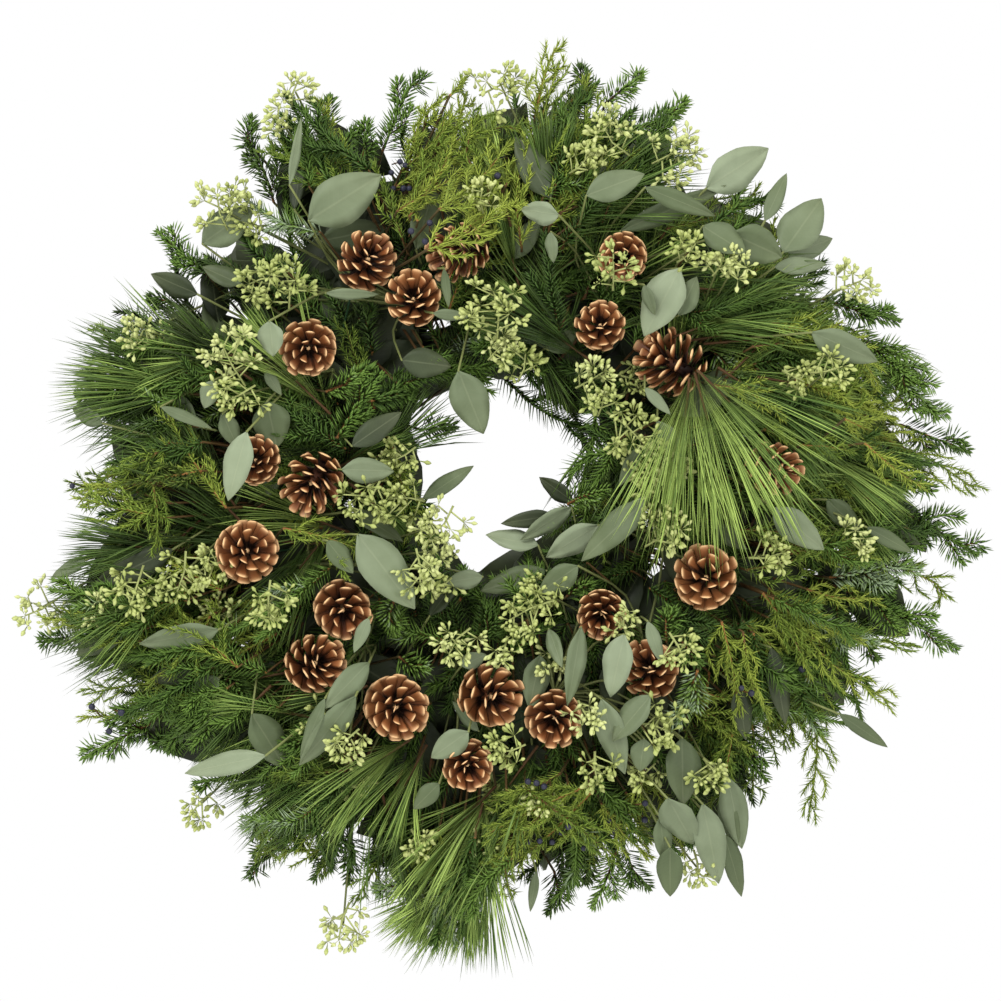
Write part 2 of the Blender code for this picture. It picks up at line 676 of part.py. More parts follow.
def slim_seams(bodies, drawn):
    """Take the slivers that the unions left out of each node, where it stays closed and clear."""
    trees = {body.name: tree_of(body.data) for body in bodies}
    for body in bodies:
        if body.name not in drawn:
            continue
        for allowance in SEAM_ALLOWANCES:
            slim = body.modifiers.new("slim", "DECIMATE")
            slim.ratio = min(1.0, allowance * drawn[body.name] / len(body.data.polygons))
            slim.use_collapse_triangulate = True
            graph = bpy.context.evaluated_depsgraph_get()
            slimmed = bpy.data.meshes.new_from_object(body.evaluated_get(graph))
            body.modifiers.remove(slim)
            faces = [p.vertices for p in slimmed.polygons]
            fat = swell([v.co for v in slimmed.vertices], faces, SEAM_GAP)
            skins = (BVHTree.FromPolygons(fat, faces), tree_of(slimmed))
            touching = any(skin.overlap(other) for skin in skins
                           for name, other in trees.items() if name != body.name)
            if is_closed(slimmed) and not touching and crossings_of(slimmed) <= crossings_of(body.data):
                body.data = slimmed
                trees[body.name] = skins[1]
                break
        print(body.name, "slimmed to", len(body.data.polygons), "crossings", crossings_of(body.data))


def frame_bunch(material):
    """Wire rail, crimp clamps and the picks that hold the cones: one welded and twisted frame."""
    frame = Bunch("ring_frame", material)
    rail = [ring_place(2 * math.pi * i / RAIL_STEPS, RING_RADIUS + RAIL_RADIUS, 0)
            for i in range(RAIL_STEPS)]
    verts = []
    faces = []
    for i, centre in enumerate(rail):
        out = (centre - RING_CENTRE).normalized()
        for k in range(5):
            turn = 2 * math.pi * k / 5
            verts.append(centre + (out * math.cos(turn) + VIEW * math.sin(turn)) * RAIL_RADIUS)
    total = 5 * RAIL_STEPS
    for i in range(RAIL_STEPS):
        for k in range(5):
            a = 5 * i + k
            b = 5 * i + (k + 1) % 5
            faces.append((a, b, (b + 5) % total, (a + 5) % total))
    frame.meshes.append(facing_out(verts, faces))
    for number in range(CLAMP_COUNT):
        angle = clamp_angle(number)
        outline = [(CLAMP_TIP - CLAMP_HALF_WIDTH, CLAMP_HEIGHT), (-CLAMP_HALF_WIDTH, CLAMP_BAR_DEPTH),
                   (CLAMP_HALF_WIDTH, CLAMP_BAR_DEPTH), (CLAMP_HALF_WIDTH - CLAMP_TIP, CLAMP_HEIGHT)]
        path = [ring_place(angle, RING_RADIUS + RAIL_RADIUS + out, depth) for out, depth in outline]
        radii = [CLAMP_WIRE] * len(path)
        frame.meshes.append(loft(path, radii, radii))
    return frame


def cone_frame(centre_step, apex_step, size):
    """Axis of a cone from its place and the place of its apex in the front view."""
    length = CONE_LENGTH * size / 66
    middle = front_place(centre_step, 0.80)
    lean = Vector(((apex_step[0] - centre_step[0]) * STEP, 0, (centre_step[1] - apex_step[1]) * STEP))
    lean /= 0.55 * length
    if lean.length > 0.94:
        lean *= 0.94 / lean.length
    axis = lean + VIEW * math.sqrt(1 - lean.length_squared)
    return middle, axis, length, size * STEP / 2


def cone_mesh(middle, axis, length, radius):
    """Closed body whose surface is drawn out to staggered rows of scale tips."""
    rows = 5
    around = 12
    side = axis.orthogonal().normalized()
    other = axis.cross(side)
    base = middle - axis * length / 2
    verts = [base.copy()]
    for row in range(rows):
        along = (row + 0.45) / rows
        reach = radius * math.sin(math.pi * (0.16 + 0.80 * along)) ** 0.7
        for k in range(around):
            turn = 2 * math.pi * k / around + 0.12 * row
            tip = (k + row) % 2 == 0
            share = 1.0 if tip else 0.62
            rise = 0.45 / rows if tip else -0.10 / rows
            out = side * math.cos(turn) + other * math.sin(turn)
            verts.append(base + axis * length * (along + rise) + out * reach * share)
    verts.append(base + axis * length * 1.04)
    faces = [(0, 1 + (k + 1) % around, 1 + k) for k in range(around)]
    for row in range(rows - 1):
        for k in range(around):
            a = 1 + row * around + k
            b = 1 + row * around + (k + 1) % around
            faces.append((a, b, b + around, a + around))
    top = 1 + (rows - 1) * around
    faces += [(top + k, top + (k + 1) % around, len(verts) - 1) for k in range(around)]
    return facing_out(verts, faces)


def place_cones(frame, material):
    cones = []
    used = []
    for number, (centre_step, apex_step, size) in enumerate(CONES, 1):
        middle, axis, length, radius = cone_frame(centre_step, apex_step, size)
        cone = Bunch("pine_cone_%02d" % number, material)
        verts, faces = cone_mesh(middle, axis, length, radius)
        seat = middle - axis * (length / 2 + 0.0003)
        start = ring_place(free_angle(clock_angle(centre_step), used), RING_RADIUS + RAIL_RADIUS, 0.0)
        knee = start + VIEW * PICK_KNEE
        radii = [PICK_WIRE] * 3
        frame.meshes.append(loft([start, knee, seat - axis * 0.004], radii, radii, 0.0, None,
                                 lambda centre, along, seat=seat: [(seat, 0.0)]))
        print(cone.name, "clear", is_clear(cone, verts, faces, seat, 0.0))
        keep(cone, (verts, faces))
        cones.append(cone)
    return cones


def trunk(bunch, start, route):
    """Butt held in the clamp, running on into the trunk of the bunch."""
    for attempt in range(3 * TRIES):
        wobble = attempt / (3 * TRIES)
        bend = [p + jitter(0.035 * wobble) for p in route]
        control = [start[0], start[1]] + bend
        path = smooth_path(control, [1, 1] + [1] * (len(bend) - 1))
        radii = [BUTT_RADIUS, BUTT_RADIUS] + [0.0020] * (len(path) - 2)
        verts, faces = loft(path, radii, radii)
        if (not bends_back(path) and is_clear(bunch, verts, faces, start[0], 0.0, SEAT_GAP * 0.7)
                and not crossings(verts, faces)):
            keep(bunch, (verts, faces))
            bunch.anchors += [(p, 0.0020) for p in path[2:]]
            return
    raise RuntimeError("trunk not clear " + bunch.name)


def make_bunches(materials):
    """Three bunches to a clamp: fir at the back, pine or cedar in the middle, eucalyptus in front."""
    bunches = {"fir": {}, "pine": {}, "cedar": {}, "eucalyptus": {}}
    for number in range(CLAMP_COUNT):
        angle = clamp_angle(number)
        middle_kind = "pine" if number in PINE_CLAMPS else "cedar"
        heights = {"fir": (0.010, 0.016, 0.030), middle_kind: (0.018, 0.036, 0.012),
                   "eucalyptus": (0.030, 0.060, -0.004)}
        for slot, (kind, (low, high, out)) in enumerate(heights.items()):
            bunch = Bunch("%s_%02d" % (kind, number + 1), materials[kind])
            radius = RING_RADIUS + RAIL_RADIUS + (1 - slot) * BUTT_PITCH
            tangent_turn = BUTT_LENGTH / RING_RADIUS
            start = [ring_place(angle - tangent_turn / 2, radius, BUTT_DEPTHS[slot]),
                     ring_place(angle + tangent_turn / 2, radius, BUTT_DEPTHS[slot])]
            ahead = angle + tangent_turn * (0.9 + 0.35 * slot)
            route = [ring_place(ahead, radius + out * 0.3, low),
                     ring_place(ahead + 0.03, radius + out, high)]
            trunk(bunch, start, route)
            bunches[kind][number] = bunch
    return bunches


def nearest_bunches(group, step):
    angle = clock_angle(step)
    order = sorted(group, key=lambda number: turn_between(angle, clamp_angle(number) + 0.10))
    return [group[number] for number in order[:2]]


def length_of(item):
    """Longest items are placed first, and those in front before those behind."""
    places = item[2]
    return (places[-1] - places[0]).length * (1 + 12 * max(0.0, item[4] - 1.0))


def place_all(bunches, items):
    missed = 0
    for kind, step, places, shape, share in sorted(items, key=length_of, reverse=True):
        if not grow(nearest_bunches(bunches[kind], step), shape, places):
            missed += 1
            print("left out", kind, step)
    print("placed", len(items) - missed, "of", len(items))


def foliage(bunches):
    items = []
    for base, tip, width, share in LEAVES:
        places = [front_place(base, share), front_place(tip, share * random.uniform(0.92, 1.0))]
        items.append(("eucalyptus", base, places, leaf_shape(width * STEP), share))
    for hub, share in SEEDS:
        place = front_place(hub, share)
        away = (place - ring_place(0, 0, 0)).normalized()
        places = [place, place + (away + VIEW * 0.8 + jitter(0.4)).normalized() * 0.01]
        items.append(("eucalyptus", hub, places, umbel_shape(SEED_LENGTH), share))
    for root, tip, share in PINE:
        places = [front_place(root, share), front_place(tip, share)]
        items.append(("pine", root, places, tuft_shape(TUFT_RINGS, TUFT_SPLAY), share))
    for steps, share in CEDAR:
        places = [front_place(step, share) for step in steps]
        items.append(("cedar", steps[0], places, needle_shape(*CEDAR_NEEDLES), share))
    for steps, share in FIR:
        places = [front_place(step, share) for step in steps]
        items.append(("fir", steps[0], places, needle_shape(*FIR_NEEDLES), share))
    for step in BERRIES:
        place = front_place(step, BERRY_SHARE)
        places = [place, place + VIEW * 0.005]
        items.append(("cedar", step, places, berry_shape(BERRY_RADIUS), BERRY_SHARE))
    place_all(bunches, items)


def main():
    clear_scene()
    materials = {
        "steel": make_material("green_lacquered_steel", (0.03, 0.07, 0.04), 0.45, 0.6),
        "cone": make_material("pine_cone_scales", (0.32, 0.16, 0.07), 0.60),
        "fir": make_material("fir_needles", (0.05, 0.14, 0.05), 0.50),
        "pine": make_material("white_pine_needles", (0.08, 0.20, 0.06), 0.45),
        "cedar": make_material("cedar_foliage", (0.20, 0.28, 0.06), 0.55),
        "eucalyptus": make_material("eucalyptus_leaves", (0.20, 0.26, 0.17), 0.60),
    }
    hole = Bunch("hole", None)
    for corners in HOLE_BOXES:
        keep(hole, hole_block(corners))
    frame = frame_bunch(materials["steel"])
    for verts, faces in list(frame.meshes):
        taken.append((frame, BVHTree.FromPolygons(verts, faces), *box_of(verts)))
    cones = place_cones(frame, materials["cone"])
    for verts, faces in frame.meshes[1 + CLAMP_COUNT:]:
        taken.append((frame, BVHTree.FromPolygons(verts, faces), *box_of(verts)))
    bunches = make_bunches(materials)
    foliage(bunches)
    everything = [frame] + cones + [bunch for group in bunches.values() for bunch in group.values()]
    bodies = [fuse(bunch.name, bunch.meshes, bunch.material) for bunch in everything]
    drawn = {bunch.name: sum(len(faces) for verts, faces in bunch.meshes)
             for group in bunches.values() for bunch in group.values()}
    slim_seams(bodies, drawn)
    print("nodes", len(bodies), "triangles", sum(len(body.data.polygons) for body in bodies))


main()
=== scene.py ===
import math

import bmesh
import bpy
import numpy as np
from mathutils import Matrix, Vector


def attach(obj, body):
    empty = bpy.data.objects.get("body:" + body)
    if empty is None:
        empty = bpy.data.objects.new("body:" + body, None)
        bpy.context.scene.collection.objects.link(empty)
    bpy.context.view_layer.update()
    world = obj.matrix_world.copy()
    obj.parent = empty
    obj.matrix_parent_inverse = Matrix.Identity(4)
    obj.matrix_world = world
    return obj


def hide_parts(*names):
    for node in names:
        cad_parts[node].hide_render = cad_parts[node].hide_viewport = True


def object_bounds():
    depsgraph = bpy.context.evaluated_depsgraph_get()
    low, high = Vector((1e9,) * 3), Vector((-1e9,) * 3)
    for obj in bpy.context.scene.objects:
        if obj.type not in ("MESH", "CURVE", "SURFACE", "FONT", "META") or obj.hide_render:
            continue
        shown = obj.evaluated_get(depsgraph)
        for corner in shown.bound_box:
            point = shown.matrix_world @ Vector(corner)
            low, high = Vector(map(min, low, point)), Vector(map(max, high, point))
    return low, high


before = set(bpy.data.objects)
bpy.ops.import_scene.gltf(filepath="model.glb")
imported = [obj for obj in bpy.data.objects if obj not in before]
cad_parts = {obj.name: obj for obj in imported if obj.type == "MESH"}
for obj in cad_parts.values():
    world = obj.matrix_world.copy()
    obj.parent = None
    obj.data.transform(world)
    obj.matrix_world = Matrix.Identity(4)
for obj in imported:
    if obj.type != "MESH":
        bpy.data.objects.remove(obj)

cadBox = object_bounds()

# Places are read off the front view in steps of 0.75 mm
view = {
    "step": 0.00075,
    "ringCentreStep": (505, 490),
    "holeCentreStep": (507, 475),
    "ringRadius": 0.165,
    "frontDepth": 0.128,      # how far the foliage stands out over the ring
    "depthFall": 0.50,        # share of it that is lost at the rim
    "foliageReach": 0.190,
    "backLimit": 0.003,
    "stemRoom": 0.004,        # stems stay this far in front of the back
    "clampCount": 13,
    "randomStart": 28,
}
rng = np.random.default_rng(view["randomStart"])

# Pine cones: centre, apex, width in steps
coneTable = [
    ((368, 265), (379, 250), 60), ((462, 254), (436, 264), 60), ((415, 304), (413, 292), 58),
    ((311, 349), (311, 355), 60), ((259, 462), (258, 456), 52), ((316, 480), (303, 500), 62),
    ((249, 551), (256, 546), 66), ((344, 607), (348, 616), 62), ((315, 662), (330, 656), 62),
    ((396, 703), (404, 709), 68), ((488, 693), (504, 698), 66), ((467, 760), (472, 768), 54),
    ((554, 713), (551, 722), 60), ((601, 611), (598, 620), 52), ((648, 668), (645, 655), 60),
    ((703, 578), (704, 568), 68), ((768, 468), (788, 478), 56), ((669, 365), (640, 349), 70),
    ((599, 329), (599, 321), 52), ((622, 259), (617, 264), 52),
]

# Eucalyptus leaves: base, tip, width in steps, share of the front depth, tone from dark to pale, which is
# partly the leaf's own colour and partly painted light and shade
leafTable = [
    ((311, 224), (383, 179), 50, 1.04, 0.66), ((322, 243), (388, 230), 34, 0.70, 0.30),
    ((292, 189), (305, 120), 11, 0.95, 0.70), ((296, 212), (302, 160), 16, 0.60, 0.10),
    ((205, 246), (256, 210), 36, 0.70, 0.62), ((200, 296), (152, 276), 24, 0.60, 0.12),
    ((273, 324), (276, 359), 28, 1.10, 0.90), ((218, 382), (208, 410), 20, 1.00, 0.69),
    ((251, 433), (231, 501), 30, 1.12, 0.95), ((165, 408), (216, 429), 12, 0.90, 0.60),
    ((270, 403), (280, 449), 38, 0.85, 0.45), ((226, 415), (241, 448), 20, 0.80, 0.56),
    ((171, 322), (196, 365), 22, 0.80, 0.69), ((106, 424), (75, 410), 18, 0.70, 0.57),
    ((459, 373), (484, 436), 38, 1.00, 0.62), ((403, 362), (452, 368), 30, 0.80, 0.15),
    ((354, 447), (403, 413), 24, 0.85, 0.15), ((344, 470), (396, 472), 26, 0.90, 0.70),
    ((424, 499), (474, 465), 18, 0.70, 0.50), ((328, 296), (381, 298), 12, 0.90, 0.66),
    ((434, 316), (470, 320), 12, 0.90, 0.63), ((558, 220), (520, 215), 27, 1.05, 0.90),
    ((550, 236), (552, 267), 14, 1.00, 0.67), ((585, 200), (643, 178), 30, 1.00, 0.61),
    ((643, 192), (713, 220), 20, 1.00, 0.51), ((619, 234), (724, 190), 22, 0.90, 0.41),
    ((704, 192), (768, 152), 42, 0.90, 0.92), ((762, 224), (785, 175), 17, 0.80, 0.57),
    ((780, 255), (819, 199), 42, 0.85, 0.65), ((785, 258), (831, 240), 24, 0.70, 0.71),
    ((727, 238), (778, 262), 44, 1.00, 0.55), ((771, 270), (824, 266), 18, 0.90, 0.72),
    ((700, 230), (742, 256), 32, 0.90, 0.50), ((677, 272), (641, 338), 42, 1.10, 0.95),
    ((676, 318), (694, 280), 24, 0.95, 0.56), ((642, 390), (668, 416), 12, 1.00, 0.73),
    ((655, 422), (680, 465), 24, 0.80, 0.71), ((638, 447), (617, 487), 14, 0.80, 0.43),
    ((548, 352), (576, 334), 24, 0.80, 0.45), ((573, 502), (538, 478), 20, 0.60, 0.12),
    ((571, 507), (521, 541), 22, 0.75, 0.74), ((538, 545), (486, 533), 24, 0.65, 0.90),
    ((597, 525), (546, 558), 30, 0.90, 0.90), ((577, 565), (538, 593), 26, 0.95, 0.51),
    ((546, 570), (480, 590), 26, 0.65, 0.50), ((644, 500), (579, 560), 30, 1.00, 0.54),
    ((622, 632), (607, 695), 32, 1.12, 0.95), ((580, 625), (568, 703), 22, 1.02, 0.60),
    ((540, 653), (530, 707), 28, 0.95, 0.60), ((645, 619), (660, 661), 14, 1.05, 0.72),
    ((648, 692), (609, 737), 30, 0.95, 0.64), ((600, 696), (622, 771), 30, 0.95, 0.73),
    ((462, 664), (486, 652), 18, 0.85, 0.70), ((469, 728), (432, 755), 27, 1.05, 0.75),
    ((360, 534), (417, 607), 44, 1.05, 0.74), ((330, 540), (356, 572), 22, 0.85, 0.46),
    ((371, 616), (356, 650), 14, 0.95, 0.70), ((371, 660), (328, 705), 26, 0.90, 0.62),
    ((358, 693), (303, 764), 30, 1.00, 0.60), ((222, 628), (142, 645), 30, 0.90, 0.60),
    ((222, 676), (190, 706), 28, 0.80, 0.65), ((255, 711), (290, 766), 36, 0.85, 0.47),
    ((269, 752), (186, 770), 24, 1.00, 0.90), ((196, 668), (152, 680), 22, 0.70, 0.10),
    ((176, 549), (94, 586), 30, 0.70, 0.12), ((680, 735), (682, 801), 38, 1.05, 0.42),
    ((665, 794), (690, 842), 38, 1.05, 0.70), ((700, 800), (718, 882), 32, 1.00, 0.75),
    ((722, 831), (742, 895), 22, 0.85, 0.43), ((725, 774), (740, 847), 28, 0.85, 0.68),
    ((658, 813), (665, 860), 20, 0.90, 0.54), ((668, 843), (668, 894), 27, 0.95, 0.45),
    ((500, 802), (490, 880), 22, 0.60, 0.50), ((768, 646), (785, 722), 26, 0.80, 0.10),
    ((735, 685), (745, 738), 24, 0.75, 0.10), ((836, 712), (887, 746), 15, 0.75, 0.42),
    ((769, 508), (819, 550), 32, 0.95, 0.72), ((863, 527), (909, 552), 16, 0.70, 0.42),
    ((807, 335), (873, 365), 32, 0.90, 0.65), ((268, 372), (284, 396), 12, 0.90, 0.60),
    ((445, 272), (449, 311), 10, 1.00, 0.50), ((276, 474), (270, 496), 16, 0.95, 0.50),
    ((642, 288), (652, 318), 14, 1.00, 0.60), ((554, 515), (501, 524), 18, 0.70, 0.10),
    ((483, 576), (446, 582), 20, 0.80, 0.75), ((646, 496), (591, 539), 14, 0.95, 0.95),
    ((548, 627), (560, 664), 16, 0.90, 0.60), ((479, 729), (452, 700), 14, 0.90, 0.60),
    ((328, 695), (301, 758), 16, 0.95, 0.56), ((88, 560), (52, 577), 16, 0.50, 0.60),
    ((720, 790), (735, 845), 20, 0.80, 0.50), ((642, 735), (638, 768), 24, 0.95, 0.55),
    ((536, 868), (530, 910), 10, 0.60, 0.60), ((713, 525), (742, 548), 18, 0.90, 0.50),
    ((440, 780), (414, 806), 20, 0.80, 0.50),
]

# Seed clusters: hub, width in steps, share of the front depth
seedTable = [
    ((297, 95), 38, 0.75), ((283, 125), 30, 0.85), ((224, 212), 50, 0.90), ((288, 285), 64, 1.08),
    ((235, 362), 70, 1.10), ((240, 398), 50, 1.05), ((143, 337), 44, 0.80), ((501, 89), 54, 0.70),
    ((483, 202), 36, 0.95), ((495, 314), 72, 1.05), ((522, 367), 40, 0.95), ((611, 140), 58, 0.85),
    ((676, 161), 60, 0.85), ((611, 272), 53, 1.20), ((685, 255), 38, 1.05), ((730, 270), 38, 1.05),
    ((591, 380), 44, 0.95), ((626, 431), 62, 1.00), ((662, 529), 60, 1.00), ((846, 287), 46, 0.85),
    ((825, 371), 46, 0.95), ((765, 554), 46, 0.95), ((140, 589), 60, 0.90), ((185, 575), 56, 0.90),
    ((273, 601), 50, 1.00), ((40, 609), 50, 0.60), ((367, 501), 56, 1.00), ((440, 525), 54, 0.80),
    ((458, 642), 46, 0.95), ((526, 611), 64, 1.00), ((350, 740), 42, 0.95), ((507, 745), 42, 0.95),
    ((595, 766), 42, 0.95), ((675, 647), 44, 1.15), ((652, 725), 54, 1.00), ((344, 923), 54, 0.75),
    ((202, 803), 40, 0.80), ((709, 770), 42, 0.95), ((695, 864), 40, 0.75), ((255, 226), 36, 0.85),
    ((242, 198), 32, 0.80), ((170, 345), 36, 0.85), ((580, 167), 36, 0.85), ((650, 471), 50, 0.90),
    ((600, 404), 32, 0.90), ((630, 380), 32, 0.90), ((792, 379), 36, 0.85), ((852, 539), 32, 0.80),
    ((224, 611), 36, 0.90), ((403, 456), 36, 0.80), ((440, 585), 34, 0.80), ((505, 649), 34, 0.95),
    ((552, 660), 34, 0.95), ((426, 681), 36, 0.95), ((585, 711), 40, 0.90), ((622, 617), 34, 0.95),
    ((501, 794), 32, 0.75), ((540, 795), 32, 0.75), ((418, 840), 34, 0.70), ((642, 770), 34, 0.90),
    ((110, 605), 40, 0.75), ((214, 566), 36, 0.85), ((405, 500), 48, 0.88), ((420, 568), 46, 0.88),
    ((500, 350), 38, 0.90), ((541, 590), 42, 0.92), ((385, 470), 34, 0.85), ((668, 470), 44, 0.95),
    ((440, 550), 36, 0.80), ((716, 268), 30, 0.95), ((638, 480), 38, 0.95), ((262, 285), 36, 1.00),
]

# Fir sprays: points from base to tip, share of the front depth, tone, which is partly the spray's own colour
# and partly painted light and shade
firTable = [
    ([(275, 204), (244, 130)], 0.40, 0.45), ([(383, 153), (400, 110), (421, 69)], 0.45, 0.55),
    ([(208, 275), (151, 226)], 0.45, 0.60), ([(180, 310), (142, 295)], 0.35, 0.45),
    ([(161, 443), (102, 402)], 0.50, 0.95), ([(339, 439), (362, 402), (388, 368)], 0.85, 0.72),
    ([(421, 430), (466, 426)], 0.35, 0.25), ([(562, 126), (592, 63)], 0.40, 0.45),
    ([(604, 106), (650, 70)], 0.30, 0.80), ([(627, 134), (692, 108)], 0.45, 0.60),
    ([(748, 290), (800, 272)], 0.60, 0.45), ([(832, 304), (907, 325)], 0.40, 0.55),
    ([(820, 300), (885, 318)], 0.45, 0.50), ([(640, 130), (695, 100)], 0.40, 0.70),
    ([(340, 830), (310, 888)], 0.35, 0.45), ([(352, 835), (348, 892)], 0.35, 0.40),
    ([(362, 168), (370, 112)], 0.40, 0.50), ([(345, 178), (353, 122)], 0.45, 0.50),
    ([(725, 690), (768, 758)], 0.40, 0.35), ([(735, 680), (790, 735)], 0.45, 0.40),
    ([(560, 820), (566, 893)], 0.35, 0.25), ([(595, 830), (583, 892)], 0.35, 0.25),
    ([(610, 160), (632, 105)], 0.45, 0.50), ([(400, 655), (436, 672)], 0.70, 0.75),
    ([(255, 150), (250, 110)], 0.45, 0.45), ([(330, 130), (330, 90)], 0.40, 0.50),
    ([(110, 400), (70, 392)], 0.40, 0.40), ([(850, 330), (930, 395)], 0.35, 0.50),
    ([(854, 494), (920, 522), (984, 560)], 0.30, 0.55), ([(827, 577), (880, 568), (928, 569)], 0.45, 0.80),
    ([(832, 585), (900, 616), (965, 654)], 0.35, 0.60), ([(900, 425), (978, 455)], 0.25, 0.45),
    ([(830, 615), (885, 665)], 0.25, 0.45), ([(701, 728), (740, 752), (772, 785)], 0.45, 0.50),
    ([(695, 668), (673, 731)], 0.70, 0.95), ([(554, 870), (548, 923)], 0.35, 0.30),
    ([(615, 851), (589, 915)], 0.45, 0.80), ([(624, 847), (654, 896)], 0.35, 0.45),
    ([(242, 658), (180, 656)], 0.65, 0.80), ([(242, 660), (205, 712), (153, 750)], 0.60, 0.50),
    ([(151, 723), (75, 762)], 0.40, 0.50), ([(291, 833), (242, 878)], 0.30, 0.25),
    ([(436, 882), (364, 886)], 0.45, 0.92), ([(395, 600), (395, 642)], 0.75, 0.80),
    ([(460, 600), (464, 558)], 0.50, 0.45), ([(566, 596), (595, 578)], 0.60, 0.70),
    ([(713, 354), (767, 402)], 0.65, 0.92), ([(90, 640), (30, 638)], 0.35, 0.50),
    ([(195, 470), (135, 490)], 0.55, 0.40), ([(852, 350), (905, 385), (942, 425)], 0.45, 0.65),
    ([(295, 434), (308, 389)], 0.90, 0.80), ([(328, 393), (379, 363)], 0.85, 0.68),
    ([(598, 224), (649, 200)], 0.70, 0.50), ([(869, 475), (940, 487)], 0.40, 0.50),
    ([(485, 640), (485, 590)], 0.60, 0.40), ([(567, 504), (617, 486)], 0.75, 0.80),
    ([(664, 640), (664, 600)], 0.80, 0.60), ([(575, 840), (575, 892)], 0.40, 0.45),
    ([(312, 733), (275, 748)], 0.80, 0.50), ([(307, 820), (300, 850)], 0.40, 0.30),
    ([(286, 395), (286, 360)], 0.80, 0.40), ([(680, 640), (703, 668)], 0.80, 0.50),
    ([(200, 640), (236, 642)], 0.70, 0.80), ([(170, 470), (150, 500)], 0.60, 0.35),
    ([(372, 402), (424, 388)], 0.50, 0.35), ([(370, 484), (419, 500)], 0.50, 0.40),
    ([(650, 452), (603, 458)], 0.50, 0.40), ([(612, 380), (572, 412)], 0.45, 0.30),
]

# White pine tufts: root, middle of the needle tips, share of the front depth, tone, which is partly the
# tuft's own colour and partly painted light and shade
pineTable = [
    ((185, 395), (56, 392), 0.80, 0.52), ((180, 385), (62, 372), 0.75, 0.35),
    ((192, 375), (84, 335), 0.70, 0.42), ((225, 490), (173, 425), 0.60, 0.20),
    ((200, 600), (42, 620), 0.75, 0.40), ((190, 618), (62, 655), 0.65, 0.38),
    ((160, 548), (60, 540), 0.65, 0.45), ((340, 760), (222, 812), 0.80, 0.50),
    ((391, 750), (290, 815), 0.85, 0.72), ((300, 698), (185, 738), 0.50, 0.50),
    ((480, 800), (400, 885), 0.60, 0.66), ((482, 858), (456, 974), 0.40, 0.62),
    ((464, 880), (375, 935), 0.35, 0.70), ((470, 860), (440, 962), 0.40, 0.66),
    ((455, 870), (405, 950), 0.38, 0.60), ((548, 205), (555, 108), 0.65, 0.50),
    ((575, 210), (705, 160), 0.60, 0.50), ((570, 348), (478, 280), 0.85, 0.35),
    ((532, 338), (577, 420), 0.55, 0.22), ((310, 735), (208, 778), 0.60, 0.45),
    ((690, 332), (800, 290), 0.75, 0.50), ((684, 404), (668, 560), 1.12, 0.88),
    ((698, 398), (748, 580), 1.14, 0.85), ((710, 388), (830, 505), 1.10, 0.64),
    ((735, 382), (856, 462), 0.75, 0.48), ((815, 455), (911, 520), 0.50, 0.50),
    ((850, 350), (930, 392), 0.45, 0.50), ((500, 340), (435, 385), 0.50, 0.15),
    ((370, 500), (410, 535), 0.60, 0.40), ((360, 455), (414, 420), 0.55, 0.35),
]
